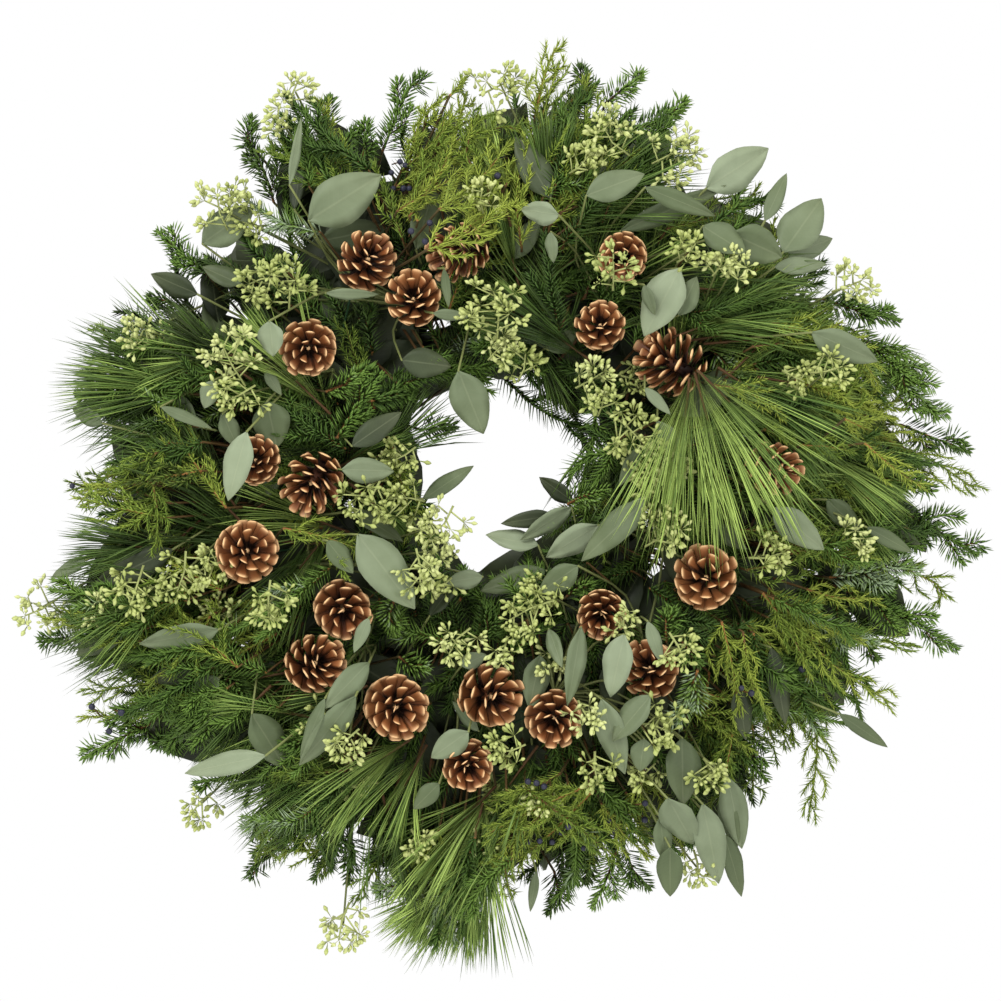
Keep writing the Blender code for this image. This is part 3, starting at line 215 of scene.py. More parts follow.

# Cedar and juniper sprays: points from base to tip, share of the front depth, tone, which is partly the
# spray's own colour and partly painted light and shade
cedarTable = [
    ([(401, 175), (440, 140), (464, 106)], 0.70, 0.60), ([(440, 150), (500, 130), (534, 136)], 0.60, 0.60),
    ([(428, 255), (475, 235), (517, 204)], 1.14, 0.95), ([(330, 150), (318, 98)], 0.55, 0.90),
    ([(535, 120), (545, 75), (560, 40)], 0.45, 0.80), ([(286, 528), (325, 536), (371, 552)], 1.06, 0.70),
    ([(157, 484), (160, 555)], 0.70, 0.50), ([(139, 505), (98, 490), (63, 480)], 0.40, 0.30),
    ([(183, 680), (130, 685), (81, 695)], 0.50, 0.60), ([(150, 715), (75, 716)], 0.45, 0.60),
    ([(587, 782), (535, 805), (479, 835)], 0.80, 0.65), ([(590, 790), (545, 835), (500, 868)], 0.65, 0.65),
    ([(600, 800), (654, 860)], 0.60, 0.60), ([(785, 617), (831, 590)], 0.60, 0.85),
    ([(766, 587), (803, 634), (831, 664), (897, 707)], 0.60, 0.60),
    ([(790, 665), (815, 735), (807, 824)], 0.50, 0.60), ([(758, 665), (780, 713)], 0.65, 0.60),
    ([(880, 560), (935, 583), (940, 612)], 0.45, 0.60), ([(880, 440), (980, 492)], 0.40, 0.60),
    ([(796, 446), (854, 452)], 0.75, 0.45), ([(345, 820), (322, 880)], 0.40, 0.50),
    ([(775, 700), (795, 750)], 0.55, 0.40), ([(625, 790), (650, 855)], 0.50, 0.55),
    ([(385, 850), (352, 908)], 0.40, 0.50), ([(640, 770), (655, 822)], 0.50, 0.60),
    ([(760, 705), (792, 752)], 0.45, 0.45), ([(720, 730), (760, 775)], 0.45, 0.40),
    ([(410, 165), (424, 108)], 0.60, 0.70), ([(432, 165), (448, 112)], 0.60, 0.75),
    ([(745, 690), (775, 745)], 0.50, 0.35), ([(790, 612), (830, 630), (868, 640)], 0.65, 0.85),
    ([(840, 545), (885, 575)], 0.50, 0.85), ([(450, 100), (465, 80)], 0.45, 0.70),
    ([(115, 350), (90, 322)], 0.45, 0.40), ([(505, 845), (512, 900)], 0.45, 0.50),
    ([(397, 190), (435, 165), (474, 151)], 0.75, 0.80), ([(419, 225), (410, 200), (425, 180)], 0.80, 0.85),
    ([(505, 190), (515, 159)], 0.70, 0.80), ([(580, 110), (590, 71)], 0.45, 0.80),
    ([(330, 540), (354, 583)], 1.00, 0.60), ([(150, 640), (167, 625)], 0.60, 0.60),
    ([(225, 610), (204, 595)], 0.70, 0.60), ([(640, 780), (640, 812)], 0.70, 0.60),
    ([(690, 680), (705, 705)], 0.80, 0.55), ([(800, 660), (817, 744)], 0.50, 0.60),
    ([(770, 302), (800, 310)], 0.60, 0.50), ([(735, 225), (744, 200)], 0.70, 0.60),
    ([(820, 490), (850, 496)], 0.60, 0.50), ([(603, 530), (603, 566)], 0.80, 0.40),
    ([(760, 430), (796, 446)], 0.80, 0.45), ([(700, 690), (737, 700)], 0.70, 0.50),
    ([(398, 215), (440, 190), (470, 172)], 0.80, 0.90), ([(440, 215), (485, 178), (512, 140)], 0.78, 0.80),
    ([(470, 230), (500, 205), (528, 172)], 0.85, 0.85), ([(425, 130), (452, 95)], 0.60, 0.75),
    ([(800, 330), (850, 352), (880, 392)], 0.70, 0.85), ([(790, 380), (850, 405), (900, 420)], 0.70, 0.90),
    ([(840, 420), (895, 445), (930, 480)], 0.60, 0.85), ([(740, 620), (780, 655), (800, 700)], 0.70, 0.75),
    ([(378, 462), (418, 478)], 0.70, 0.50), ([(560, 770), (520, 790), (480, 800)], 0.75, 0.60),
]

# Juniper berries
berryTable = [
    (399, 165), (407, 168), (393, 177), (395, 190), (402, 192), (410, 190), (393, 220), (431, 230),
    (412, 237), (427, 245), (504, 160), (497, 180), (508, 180), (528, 778), (537, 780), (545, 781),
    (567, 821), (562, 830), (528, 838), (540, 838), (552, 838), (641, 800), (642, 815), (610, 821),
    (614, 830), (584, 844), (737, 687), (745, 690), (800, 667), (96, 708), (122, 710), (110, 730),
    (75, 485),
]

# Furthest tips round the rim, and the edge of the hole, both clockwise
rimOutline = [
    (275, 75), (290, 65), (325, 95), (355, 122), (385, 85), (421, 69), (500, 70), (560, 40), (575, 85),
    (590, 63), (645, 80), (692, 108), (705, 150), (768, 150), (785, 175), (820, 200), (831, 240),
    (870, 300), (897, 328), (938, 410), (975, 490), (945, 505), (984, 560), (885, 588), (965, 655),
    (868, 662), (893, 707), (887, 746), (800, 735), (768, 782), (742, 895), (695, 870), (668, 894),
    (654, 896), (589, 915), (548, 923), (495, 890), (465, 972), (372, 940), (342, 888), (300, 880),
    (242, 878), (225, 815), (184, 800), (165, 752), (75, 762), (105, 738), (75, 715), (112, 690), (45, 668),
    (22, 625), (25, 595), (60, 540), (60, 480), (85, 440), (52, 400), (52, 380), (82, 315), (142, 295),
    (151, 226), (198, 200), (232, 190), (244, 130),
]
holeOutline = [
    (500, 388), (545, 395), (575, 415), (600, 430), (603, 462), (575, 488), (555, 510), (530, 525),
    (520, 555), (490, 568), (468, 566), (452, 545), (435, 515), (425, 480), (422, 450), (414, 422),
    (428, 400), (470, 390),
]

# Darker places of painted shade and lighter places of painted light on the foliage: middle, reach in steps,
# change of tone
paintedShadeAndLight = [
    ((225, 325), 50, -0.50), ((225, 275), 35, -0.25), ((175, 325), 35, -0.30), ((525, 275), 42, -0.30),
    ((325, 825), 40, -0.20), ((575, 870), 35, -0.20), ((275, 225), 38, 0.20), ((625, 820), 40, 0.25),
    ((125, 720), 38, 0.20), ((575, 275), 35, 0.20), ((625, 125), 35, -0.10), ((125, 625), 38, -0.15),
    ((175, 475), 40, -0.25), ((325, 725), 35, -0.20), ((575, 125), 38, -0.25), ((275, 175), 38, -0.25),
    ((875, 575), 42, 0.20), ((825, 625), 42, 0.25), ((875, 375), 38, 0.20), ((875, 475), 38, 0.20),
    ((725, 675), 40, 0.20), ((425, 875), 45, 0.20), ((525, 870), 35, 0.20), ((340, 420), 35, -0.15),
]

toViewer = np.array([0.0, -1.0, 0.0])
ringCentre = np.array([0.0, 0.0, -view["ringRadius"]])


def flatPlace(step):
    x = (step[0] - view["ringCentreStep"][0]) * view["step"]
    z = (view["ringCentreStep"][1] - step[1]) * view["step"] - view["ringRadius"]
    return np.array([x, 0.0, z])


def flatLength(away):
    return math.hypot(away[0], away[2])


def flatAngle(away):
    return math.atan2(away[0], away[2])


def depthAt(place, share):
    away = (flatLength(place - ringCentre) - view["ringRadius"]) / view["foliageReach"]
    return view["frontDepth"] * share * (1 - view["depthFall"] * min(1.0, away * away))


def frontPlace(step, share):
    place = flatPlace(step)
    return place + toViewer * depthAt(place, share)


def shadedAndLit(tone, place):
    # The tone of foliage at a place, with its share of the painted shade and painted light of the places
    # around
    for middle, reach, change in paintedShadeAndLight:
        near = 1 - flatLength(place - flatPlace(middle)) / (reach * view["step"])
        tone += change * min(1.0, max(0.0, 2 * near))
    return min(1.0, max(0.0, tone))


def ringPlace(angle, radius, depth):
    return ringCentre + np.array([radius * math.sin(angle), -depth, radius * math.cos(angle)])


def clampAngle(number):
    return 2 * math.pi * (number - 0.5) / view["clampCount"]


def turnBetween(first, second):
    return abs((first - second + math.pi) % (2 * math.pi) - math.pi)


def lengthOf(v):
    return float(np.linalg.norm(v))


def unit(v):
    return v / max(1e-9, lengthOf(v))


def units(rows):
    return rows / np.maximum(1e-9, np.linalg.norm(rows, axis=1))[:, None]


def sideOf(direction):
    # Square to a direction, in the plane of the wreath
    return np.array([direction[2], 0.0, -direction[0]])


def fan(first, second, turns):
    # Directions turned from the first towards the second, one for each turn
    return first * np.cos(turns)[:, None] + second * np.sin(turns)[:, None]


def about(spread, count=None):
    return rng.uniform(-spread, spread, count)


def smoothPath(points, steps=6):
    # Catmull-Rom curve through the points
    points = [np.asarray(point, float) for point in points]
    ends = [points[0] * 2 - points[1]] + points + [points[-1] * 2 - points[-2]]
    path = [points[0]]
    for a, b, c, d in zip(ends, ends[1:], ends[2:], ends[3:]):
        for step in range(1, steps + 1):
            t = step / steps
            path.append(0.5 * (2 * b + (c - a) * t + (2 * a - 5 * b + 4 * c - d) * t * t
                               + (3 * b - 3 * c + d - a) * t ** 3))
    return np.array(path)


def evenPoints(path, spacing):
    spans = np.linalg.norm(np.diff(path, axis=0), axis=1)
    reach = np.concatenate([[0.0], np.cumsum(spans)])
    count = max(3, int(reach[-1] / spacing) + 1)
    at = np.linspace(0, reach[-1], count)
    return np.stack([np.interp(at, reach, path[:, k]) for k in range(3)], axis=1)


def frames(points, up):
    # Direction, side and top of a stem at each of its points
    ahead = units(np.gradient(points, axis=0))
    top = up - ahead * (ahead @ up)[:, None]
    top = units(top + 1e-6)
    return ahead, np.cross(ahead, top), top


# Shapes that repeat are modelled once and copied
def deselectAll():
    if bpy.context.object and bpy.context.object.mode != "OBJECT":
        bpy.ops.object.mode_set(mode="OBJECT")
    bpy.ops.object.select_all(action="DESELECT")


def openShape():
    # The new primitive, with its place in its mesh, open for editing
    bpy.ops.object.transform_apply(location=True, rotation=True, scale=True)
    bpy.ops.object.mode_set(mode="EDIT")
    return bpy.context.object


def selectWhere(shape, test):
    work = bmesh.from_edit_mesh(shape.data)
    for item in list(work.faces) + list(work.edges) + list(work.verts):
        item.select_set(False)
    for vert in work.verts:
        if test(vert.co):
            vert.select_set(True)
    work.select_flush_mode()
    bmesh.update_edit_mesh(shape.data)


def takeShape(shape):
    # The finished shape as arrays: points, triangles, and how far along and across each point lies
    bpy.ops.object.mode_set(mode="OBJECT")
    shape.modifiers.new("triangulate", "TRIANGULATE")
    for modifier in list(shape.modifiers):
        bpy.ops.object.modifier_apply(modifier=modifier.name)
    mesh = shape.data
    points = np.empty(len(mesh.vertices) * 3)
    mesh.vertices.foreach_get("co", points)
    points = points.reshape(-1, 3)
    corners = np.empty(len(mesh.polygons) * 3, int)
    mesh.polygons.foreach_get("vertices", corners)
    faces = corners.reshape(-1, 3)
    a, b, c = (points[faces[:, k]] for k in range(3))
    if float(np.sum(a * np.cross(b, c))) < 0:
        faces = faces[:, ::-1]
    bpy.data.objects.remove(shape)
    return {"points": points, "faces": faces,
            "along": np.clip(points[:, 0], 0, 1), "across": np.clip(points[:, 1] * 2, -1, 1)}


def modelSprig(tipShift):
    # The plainest needle: a three-sided point, one unit long and wide
    deselectAll()
    bpy.ops.mesh.primitive_cone_add(vertices=3, radius1=0.5, radius2=0.0, depth=1, end_fill_type="NGON",
                                    location=(0.5, 0, 0), rotation=(0, math.pi / 2, 0))
    shape = openShape()
    selectWhere(shape, lambda co: co.x > 0.99)
    bpy.ops.transform.translate(value=(0, tipShift, 0))
    return takeShape(shape)


def modelSpindle(sides, widest, cuts):
    # Needle: pointed at both ends, one unit long and wide, with cuts where it will bend
    deselectAll()
    bpy.ops.mesh.primitive_cone_add(vertices=sides, radius1=0.5, radius2=0.0, depth=1 - widest,
                                    end_fill_type="TRIFAN", location=((1 + widest) / 2, 0, 0),
                                    rotation=(0, math.pi / 2, 0))
    shape = openShape()
    selectWhere(shape, lambda co: abs(co.x - widest) < 1e-4 and abs(co.y) < 1e-4 and abs(co.z) < 1e-4)
    bpy.ops.transform.translate(value=(-widest, 0, 0))
    for cut in cuts:
        bpy.ops.mesh.select_all(action="SELECT")
        bpy.ops.mesh.bisect(plane_co=(cut, 0, 0), plane_no=(1, 0, 0))
    return takeShape(shape)


leafForm = {
    "rows": 10, "columns": 4, "backRows": 5, "backColumns": 2,
    "outline": [0.05, 0.42, 0.71, 0.90, 1.0, 1.0, 0.97, 0.91, 0.81, 0.67, 0.50, 0.29, 0.02],
    "fold": 0.07, "wave": 0.025, "waveFrom": 0.3, "thickness": 0.02,
}


def modelLeaf(rows, columns):
    # A grid drawn in to the leaf's outline, waved at its edges, folded along its midrib
    deselectAll()
    bpy.ops.mesh.primitive_grid_add(x_subdivisions=rows, y_subdivisions=columns, size=1, location=(0.5, 0, 0))
    shape = openShape()
    outline = leafForm["outline"]
    for row in range(rows + 1):
        x = row / rows
        wide = float(np.interp(x, np.linspace(0, 1, len(outline)), outline))
        selectWhere(shape, lambda co: abs(co.x - x) < 1e-3)
        bpy.ops.transform.resize(value=(1, wide, 1), center_override=(x, 0, 0))
        if 0 < row < rows:
            selectWhere(shape, lambda co: abs(co.x - x) < 1e-3 and abs(co.y) > leafForm["waveFrom"] * wide)
            bpy.ops.transform.translate(value=(0, 0, leafForm["wave"] * (1 if row % 4 < 2 else -1)))
    selectWhere(shape, lambda co: abs(co.y) < 1e-3)
    bpy.ops.transform.translate(value=(0, 0, -leafForm["fold"]))
    bpy.ops.object.mode_set(mode="OBJECT")
    skin = shape.modifiers.new("skin", "SOLIDIFY")
    skin.thickness = leafForm["thickness"]
    skin.offset = 0.0
    return takeShape(shape)


budForm = {
    "segments": 5, "rings": 4,
    "bodyLength": 0.50, "bodyEnd": 0.96,
    "capFrom": 0.97, "capPoint": 0.05,
    "neckTo": 0.60, "neckWidth": 0.5, "neckMiddle": 0.55,
    "footTo": 0.50, "footLength": 0.48,
}


def modelBud():
    # Seed capsule of the eucalyptus: a plump bud with a pointed cap on a narrow foot
    form = budForm
    deselectAll()
    bpy.ops.mesh.primitive_uv_sphere_add(segments=form["segments"], ring_count=form["rings"], radius=0.5,
                                         location=(0.5, 0, 0), rotation=(0, math.pi / 2, 0))
    shape = openShape()
    bpy.ops.mesh.select_all(action="SELECT")
    bpy.ops.transform.resize(value=(form["bodyLength"], 1, 1), center_override=(form["bodyEnd"], 0, 0))
    selectWhere(shape, lambda co: co.x > form["capFrom"])
    bpy.ops.transform.translate(value=(form["capPoint"], 0, 0))
    selectWhere(shape, lambda co: co.x < form["neckTo"])
    bpy.ops.transform.resize(value=(1, form["neckWidth"], form["neckWidth"]),
                             center_override=(form["neckMiddle"], 0, 0))
    selectWhere(shape, lambda co: co.x < form["footTo"])
    bpy.ops.transform.translate(value=(-form["footLength"], 0, 0))
    return takeShape(shape)


def modelBerry(dimpleFrom, dimple):
    # A ball that is pressed in a little at its end
    deselectAll()
    bpy.ops.mesh.primitive_ico_sphere_add(subdivisions=2, radius=0.5, location=(0.5, 0, 0))
    shape = openShape()
    selectWhere(shape, lambda co: co.x > dimpleFrom)
    bpy.ops.transform.translate(value=(-dimple, 0, 0))
    return takeShape(shape)


scaleForm = {
    # distance along the scale, width, thickness, lift towards the apex
    "sections": [(0.0, 0.22, 0.07, 0.0), (0.40, 0.44, 0.08, 0.01), (0.72, 0.84, 0.11, 0.03),
                 (0.88, 1.00, 0.17, 0.07), (0.96, 0.88, 0.19, 0.12), (1.0, 0.56, 0.11, 0.14)],
    "sides": 6,
}


def modelConeScale():
    # Woody scale: a narrow stalk that widens to a thick rounded lip
    sections = scaleForm["sections"]
    deselectAll()
    bpy.ops.mesh.primitive_circle_add(vertices=scaleForm["sides"], radius=0.5, fill_type="NGON",
                                      location=(0, 0, 0), rotation=(0, math.pi / 2, 0))
    shape = openShape()
    bpy.ops.mesh.select_all(action="SELECT")
    bpy.ops.transform.resize(value=(1, sections[0][1], sections[0][2]), center_override=(0, 0, 0))
    for before, after in zip(sections, sections[1:]):
        bpy.ops.mesh.extrude_region_move(
            TRANSFORM_OT_translate={"value": (after[0] - before[0], 0, after[3] - before[3])})
        bpy.ops.transform.resize(value=(1, after[1] / before[1], after[2] / before[2]),
                                 center_override=(after[0], 0, after[3]))
    return takeShape(shape)


shapes = {
    "sprig": modelSprig(0.12),
    "needle": modelSpindle(3, 0.62, []),
    "longNeedle": modelSpindle(3, 0.76, [0.40]),
    "leaf": modelLeaf(leafForm["rows"], leafForm["columns"]),
    "backLeaf": modelLeaf(leafForm["backRows"], leafForm["backColumns"]),
    "bud": modelBud(),
    "berry": modelBerry(0.93, 0.05),
    "coneScale": modelConeScale(),
}
print("shapes", {name: len(shape["faces"]) for name, shape in shapes.items()})


# A piece grows from copies of the shapes; its materials are those of its foliage, stems and fruit
slots = {"foliage": 0, "stem": 1, "fruit": 2}


class Growth:
    def __init__(self):
        self.points, self.faces, self.marks, self.slots = [], [], [], []
        self.count = 0

    def add(self, points, faces, tone, along, across, slot):
        self.points.append(points)
        self.faces.append(faces + self.count)
        self.marks.append(np.stack([np.broadcast_to(tone, len(points)), along, across], axis=1))
        self.slots.append(np.full(len(faces), slots[slot]))
        self.count += len(points)


def copyMany(growth, shapeName, starts, aheads, sides, tops, tones, slot="foliage", bends=None):
    # Copies of a shape: one for each start, stretched along its own three axes and bent towards its end
    shape = shapes[shapeName]
    points, along = shape["points"], shape["along"]
    placed = starts[:, None, :]
    for axis, stretch in enumerate((aheads, sides, tops)):
        placed = placed + points[None, :, axis, None] * stretch[:, None, :]
    if bends is not None:
        placed = placed + (along ** 2)[None, :, None] * bends[:, None, :]
    copies, size = len(starts), len(points)
    faces = (shape["faces"][None] + (np.arange(copies) * size)[:, None, None]).reshape(-1, 3)
    tones = np.repeat(np.broadcast_to(tones, copies), size)
    growth.add(placed.reshape(-1, 3), faces, tones, np.tile(along, copies),
               np.tile(shape["across"], copies), slot)


def tube(growth, path, startRadius, endRadius, tone, slot="stem", sides=3):
    path = np.array(path)
    count = len(path)
    # No stem runs along this direction, so none is twisted
    ahead, side, top = frames(path, unit(toViewer + np.array([0.31, 0, 0.17])))
    radii = np.linspace(startRadius, endRadius, count)
    turns = 2 * math.pi * np.arange(sides) / sides
    ring = np.cos(turns)[None, :, None] * side[:, None, :] + np.sin(turns)[None, :, None] * top[:, None, :]
    points = (path[:, None, :] + ring * radii[:, None, None]).reshape(-1, 3)
    points = np.concatenate([points, path[:1], path[-1:] + ahead[-1:] * endRadius])
    faces = []
    for i in range(count - 1):
        for k in range(sides):
            a, b = i * sides + k, i * sides + (k + 1) % sides
            faces += [(a, b, b + sides), (a, b + sides, a + sides)]
    last = (count - 1) * sides
    for k in range(sides):
        faces.append((count * sides, (k + 1) % sides, k))
        faces.append((count * sides + 1, last + k, last + (k + 1) % sides))
    along = np.concatenate([np.repeat(np.linspace(0, 1, count), sides), [0.0, 1.0]])
    growth.add(points, np.array(faces), tone, along, np.zeros(len(points)), slot)


def addObject(name, data):
    made = bpy.data.objects.new(name, data)
    bpy.context.scene.collection.objects.link(made)
    return made


def finishPiece(name, growth, materials, nodes):
    # The piece's mesh is made where its points are, so that its object stays at the origin
    points = np.concatenate(growth.points)
    points[:, 1] = np.clip(points[:, 1], cadBox[0][1], view["backLimit"])
    faces = np.concatenate(growth.faces)
    marks = np.concatenate(growth.marks)
    mesh = bpy.data.meshes.new(name)
    mesh.vertices.add(len(points))
    mesh.vertices.foreach_set("co", points.astype(np.float32).ravel())
    mesh.loops.add(len(faces) * 3)
    mesh.loops.foreach_set("vertex_index", faces.astype(np.int32).ravel())
    mesh.polygons.add(len(faces))
    mesh.polygons.foreach_set("loop_start", np.arange(0, len(faces) * 3, 3, dtype=np.int32))
    mesh.polygons.foreach_set("material_index", np.concatenate(growth.slots).astype(np.int32))
    mesh.polygons.foreach_set("use_smooth", np.ones(len(faces), bool))
    for column, mark in enumerate(("tone", "along", "across")):
        attribute = mesh.attributes.new(mark, "FLOAT", "POINT")
        attribute.data.foreach_set("value", marks[:, column].astype(np.float32))
    mesh.update(calc_edges=True)
    mesh.validate()
    for material in materials:
        mesh.materials.append(material)
    piece = addObject(name, mesh)
    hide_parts(*nodes)
    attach(piece, "root")
    return len(faces)


# Materials: grain and bump of all plants, the painted shade at the roots of their copies, and the midrib and
# veins of the leaves
surface = {
    "detail": 3.0, "mottle": 0.30, "roughSpread": 0.24, "rootShadePower": 1.5,
    "bump": 0.25, "bumpDepth": 0.0004, "specular": 0.22, "coatRoughness": 0.35,
    "ribSharpness": 14.0, "veinSlant": 0.16, "veinRows": 95.0, "veinSharpness": 8.0, "veinHeight": 0.12,
    "veinShare": 0.10, "veinGrain": 0.35, "veinColour": (182, 188, 150),
}


def srgb(colour):
    return [(c / 255 / 12.92 if c <= 10 else ((c / 255 + 0.055) / 1.055) ** 2.4) for c in colour] + [1.0]


def newMaterial(name):
    material = bpy.data.materials.new(name)
    material.use_nodes = True
    return material, material.node_tree, material.node_tree.nodes["Principled BSDF"]


def grainOf(tree, scale, detail):
    # Noise that is fixed to the piece
    noise = tree.nodes.new("ShaderNodeTexNoise")
    noise.inputs["Scale"].default_value = scale
    noise.inputs["Detail"].default_value = detail
    tree.links.new(tree.nodes.new("ShaderNodeTexCoord").outputs["Object"], noise.inputs["Vector"])
    return noise.outputs["Fac"]


def rampOf(tree, tones, share):
    ramp = tree.nodes.new("ShaderNodeValToRGB")
    for index, (position, colour) in enumerate(tones):
        stop = ramp.color_ramp.elements[index] if index < 2 else ramp.color_ramp.elements.new(position)
        stop.position = position
        stop.color = srgb(colour)
    tree.links.new(share, ramp.inputs["Fac"])
    return ramp.outputs["Color"]


def plantMaterial(name, tones, tipColour, tipShare, roughness, grain, tipPower=2.0,
                  rootShadeColour=(14, 18, 8), rootShadeShare=0.0, coat=0.0, veins=False):
    # Colour by the tone of each copy, darker at its root with painted shade and paler to its tip, mottled by
    # noise
    material, tree, shader = newMaterial(name)

    def feed(socket, value):
        if isinstance(value, bpy.types.NodeSocket):
            tree.links.new(value, socket)
        else:
            socket.default_value = value

    def mark(attributeName):
        node = tree.nodes.new("ShaderNodeAttribute")
        node.attribute_name = attributeName
        return node.outputs["Fac"]

    def sums(operation, *values):
        node = tree.nodes.new("ShaderNodeMath")
        node.operation = operation
        for socket, value in zip(node.inputs, values):
            feed(socket, value)
        return node.outputs[0]

    def blend(share, first, second):
        node = tree.nodes.new("ShaderNodeMix")
        node.data_type = "RGBA"
        feed(node.inputs["Factor"], share)
        feed(node.inputs["A"], first)
        feed(node.inputs["B"], second)
        return node.outputs["Result"]

    noise = grainOf(tree, grain, surface["detail"])
    along = mark("along")
    tone = sums("MULTIPLY_ADD", sums("SUBTRACT", noise, 0.5), surface["mottle"], mark("tone"))
    # Painted shade: each copy darkens towards its root, where it lies among the others
    rootShadeMix = sums("MULTIPLY", sums("POWER", sums("SUBTRACT", 1.0, along), surface["rootShadePower"]), rootShadeShare)
    colour = blend(rootShadeMix, rampOf(tree, tones, tone), srgb(rootShadeColour))
    colour = blend(sums("MULTIPLY", sums("POWER", along, tipPower), tipShare), colour, srgb(tipColour))
    height = noise
    if veins:
        off = sums("ABSOLUTE", mark("across"))
        rib = sums("SUBTRACT", 1.0, sums("MINIMUM", sums("MULTIPLY", off, surface["ribSharpness"]), 1.0))
        slanted = sums("SUBTRACT", along, sums("MULTIPLY", off, surface["veinSlant"]))
        wave = sums("MAXIMUM", sums("SINE", sums("MULTIPLY", slanted, surface["veinRows"])), 0.0)
        vein = sums("MULTIPLY", sums("POWER", wave, surface["veinSharpness"]), surface["veinHeight"])
        lines = sums("MINIMUM", sums("ADD", rib, vein), 1.0)
        colour = blend(sums("MULTIPLY", lines, surface["veinShare"]), colour, srgb(surface["veinColour"]))
        height = sums("MULTIPLY_ADD", noise, surface["veinGrain"], lines)
    bump = tree.nodes.new("ShaderNodeBump")
    feed(bump.inputs["Strength"], surface["bump"])
    feed(bump.inputs["Distance"], surface["bumpDepth"])
    feed(bump.inputs["Height"], height)
    feed(shader.inputs["Normal"], bump.outputs["Normal"])
    feed(shader.inputs["Base Color"], colour)
    spread = surface["roughSpread"]
    feed(shader.inputs["Roughness"], sums("MULTIPLY_ADD", noise, spread, roughness - spread / 2))
    feed(shader.inputs["Specular IOR Level"], surface["specular"])
    feed(shader.inputs["Coat Weight"], coat)
    feed(shader.inputs["Coat Roughness"], surface["coatRoughness"])
    return material


finish = {
    "fir": plantMaterial(
        "firNeedles", [(0.0, (20, 33, 12)), (0.45, (60, 90, 32)), (0.8, (104, 136, 54)),
                       (0.93, (118, 148, 70)), (1.0, (158, 176, 144))],
        tipColour=(128, 156, 72), tipShare=0.36, roughness=0.50, grain=60, rootShadeShare=0.45),
    "pine": plantMaterial(
        "whitePineNeedles", [(0.0, (26, 42, 16)), (0.5, (76, 106, 42)), (1.0, (178, 204, 104))],
        tipColour=(150, 166, 90), tipShare=0.16, roughness=0.42, grain=40, rootShadeShare=0.42),
    "cedar": plantMaterial(
        "cedarScales", [(0.0, (40, 56, 18)), (0.5, (112, 140, 48)), (1.0, (176, 192, 78))],
        tipColour=(184, 196, 94), tipShare=0.42, roughness=0.55, grain=90, rootShadeShare=0.45),
    "leaf": plantMaterial(
        "eucalyptusLeaf", [(0.0, (26, 33, 18)), (0.5, (84, 96, 66)), (1.0, (138, 149, 121))],
        tipColour=(132, 138, 98), tipShare=0.15, roughness=0.52, grain=45, veins=True),
    "seed": plantMaterial(
        "eucalyptusSeeds", [(0.0, (102, 116, 50)), (0.5, (154, 166, 90)), (1.0, (196, 202, 140))],
        tipColour=(200, 204, 134), tipShare=0.36, roughness=0.45, grain=300),
    "stalk": plantMaterial(
        "greenStalks", [(0.0, (46, 54, 24)), (1.0, (172, 180, 112))],
        tipColour=(150, 158, 94), tipShare=0.2, roughness=0.5, grain=200),
    "bark": plantMaterial(
        "youngBark", [(0.0, (30, 24, 14)), (0.6, (104, 72, 42)), (1.0, (164, 112, 60))],
        tipColour=(96, 90, 46), tipShare=0.3, roughness=0.65, grain=260),
    # Pale end of the berries: partly their bloom, partly a painted highlight on the side that faces the front
    "berry": plantMaterial(
        "juniperBerries", [(0.0, (16, 16, 24)), (1.0, (40, 40, 56))],
        tipColour=(74, 76, 94), tipShare=0.35, roughness=0.40, grain=400),
    # Painted shade: the scales turn almost black at their roots, in the clefts between them
    "cone": plantMaterial(
        "coneScales", [(0.0, (80, 41, 20)), (0.5, (132, 75, 38)), (1.0, (170, 110, 64))],
        tipColour=(230, 188, 136), tipShare=0.95, roughness=0.50, grain=140, tipPower=14.0,
        rootShadeColour=(28, 13, 8), rootShadeShare=1.7, coat=0.10),
}
print("materials", len(finish))


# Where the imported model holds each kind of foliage, so that finer pieces take its places
kinds = ("fir", "pine", "cedar", "eucalyptus")
kindNodes = {kind: sorted(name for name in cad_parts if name[:-3] == kind) for kind in kinds}
seat = {
    "reach": 0.014,         # a tip takes the depth of a packed point that is as near as this
    "depthWeight": 0.15,    # a difference in depth counts less than one across the view
    "clampTurn": 0.10,      # foliage lies this far past its clamp
}


def nodePoints(name):
    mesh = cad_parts[name].data
    points = np.empty(len(mesh.vertices) * 3)
    mesh.vertices.foreach_get("co", points)
    return points.reshape(-1, 3)


pointsOf = {name: nodePoints(name) for kind in kinds for name in kindNodes[kind]}
growths = {name: Growth() for name in pointsOf}


def clampNode(kind, place):
    # The bunch whose clamp lies nearest
    angle = flatAngle(place - ringCentre)
    return min(kindNodes[kind],
               key=lambda name: turnBetween(angle, clampAngle(int(name[-2:])) + seat["clampTurn"]))


def awayFrom(place, points):
    # Distances across the view, and with the depth
    flat = np.hypot(points[:, 0] - place[0], points[:, 2] - place[2])
    return flat, flat + seat["depthWeight"] * np.abs(points[:, 1] - place[1])


def findNode(kind, place):
    # The bunch that holds the nearest point
    return min((float(awayFrom(place, pointsOf[name])[1].min()), name) for name in kindNodes[kind])[1]


def settle(name, places):
    # Take each place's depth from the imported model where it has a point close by
    settled = []
    for place in places:
        flat, full = awayFrom(place, pointsOf[name])
        near = int(np.argmin(full))
        close = flat[near] < seat["reach"]
        settled.append(np.array([place[0], pointsOf[name][near, 1], place[2]]) if close else place)
    return settled


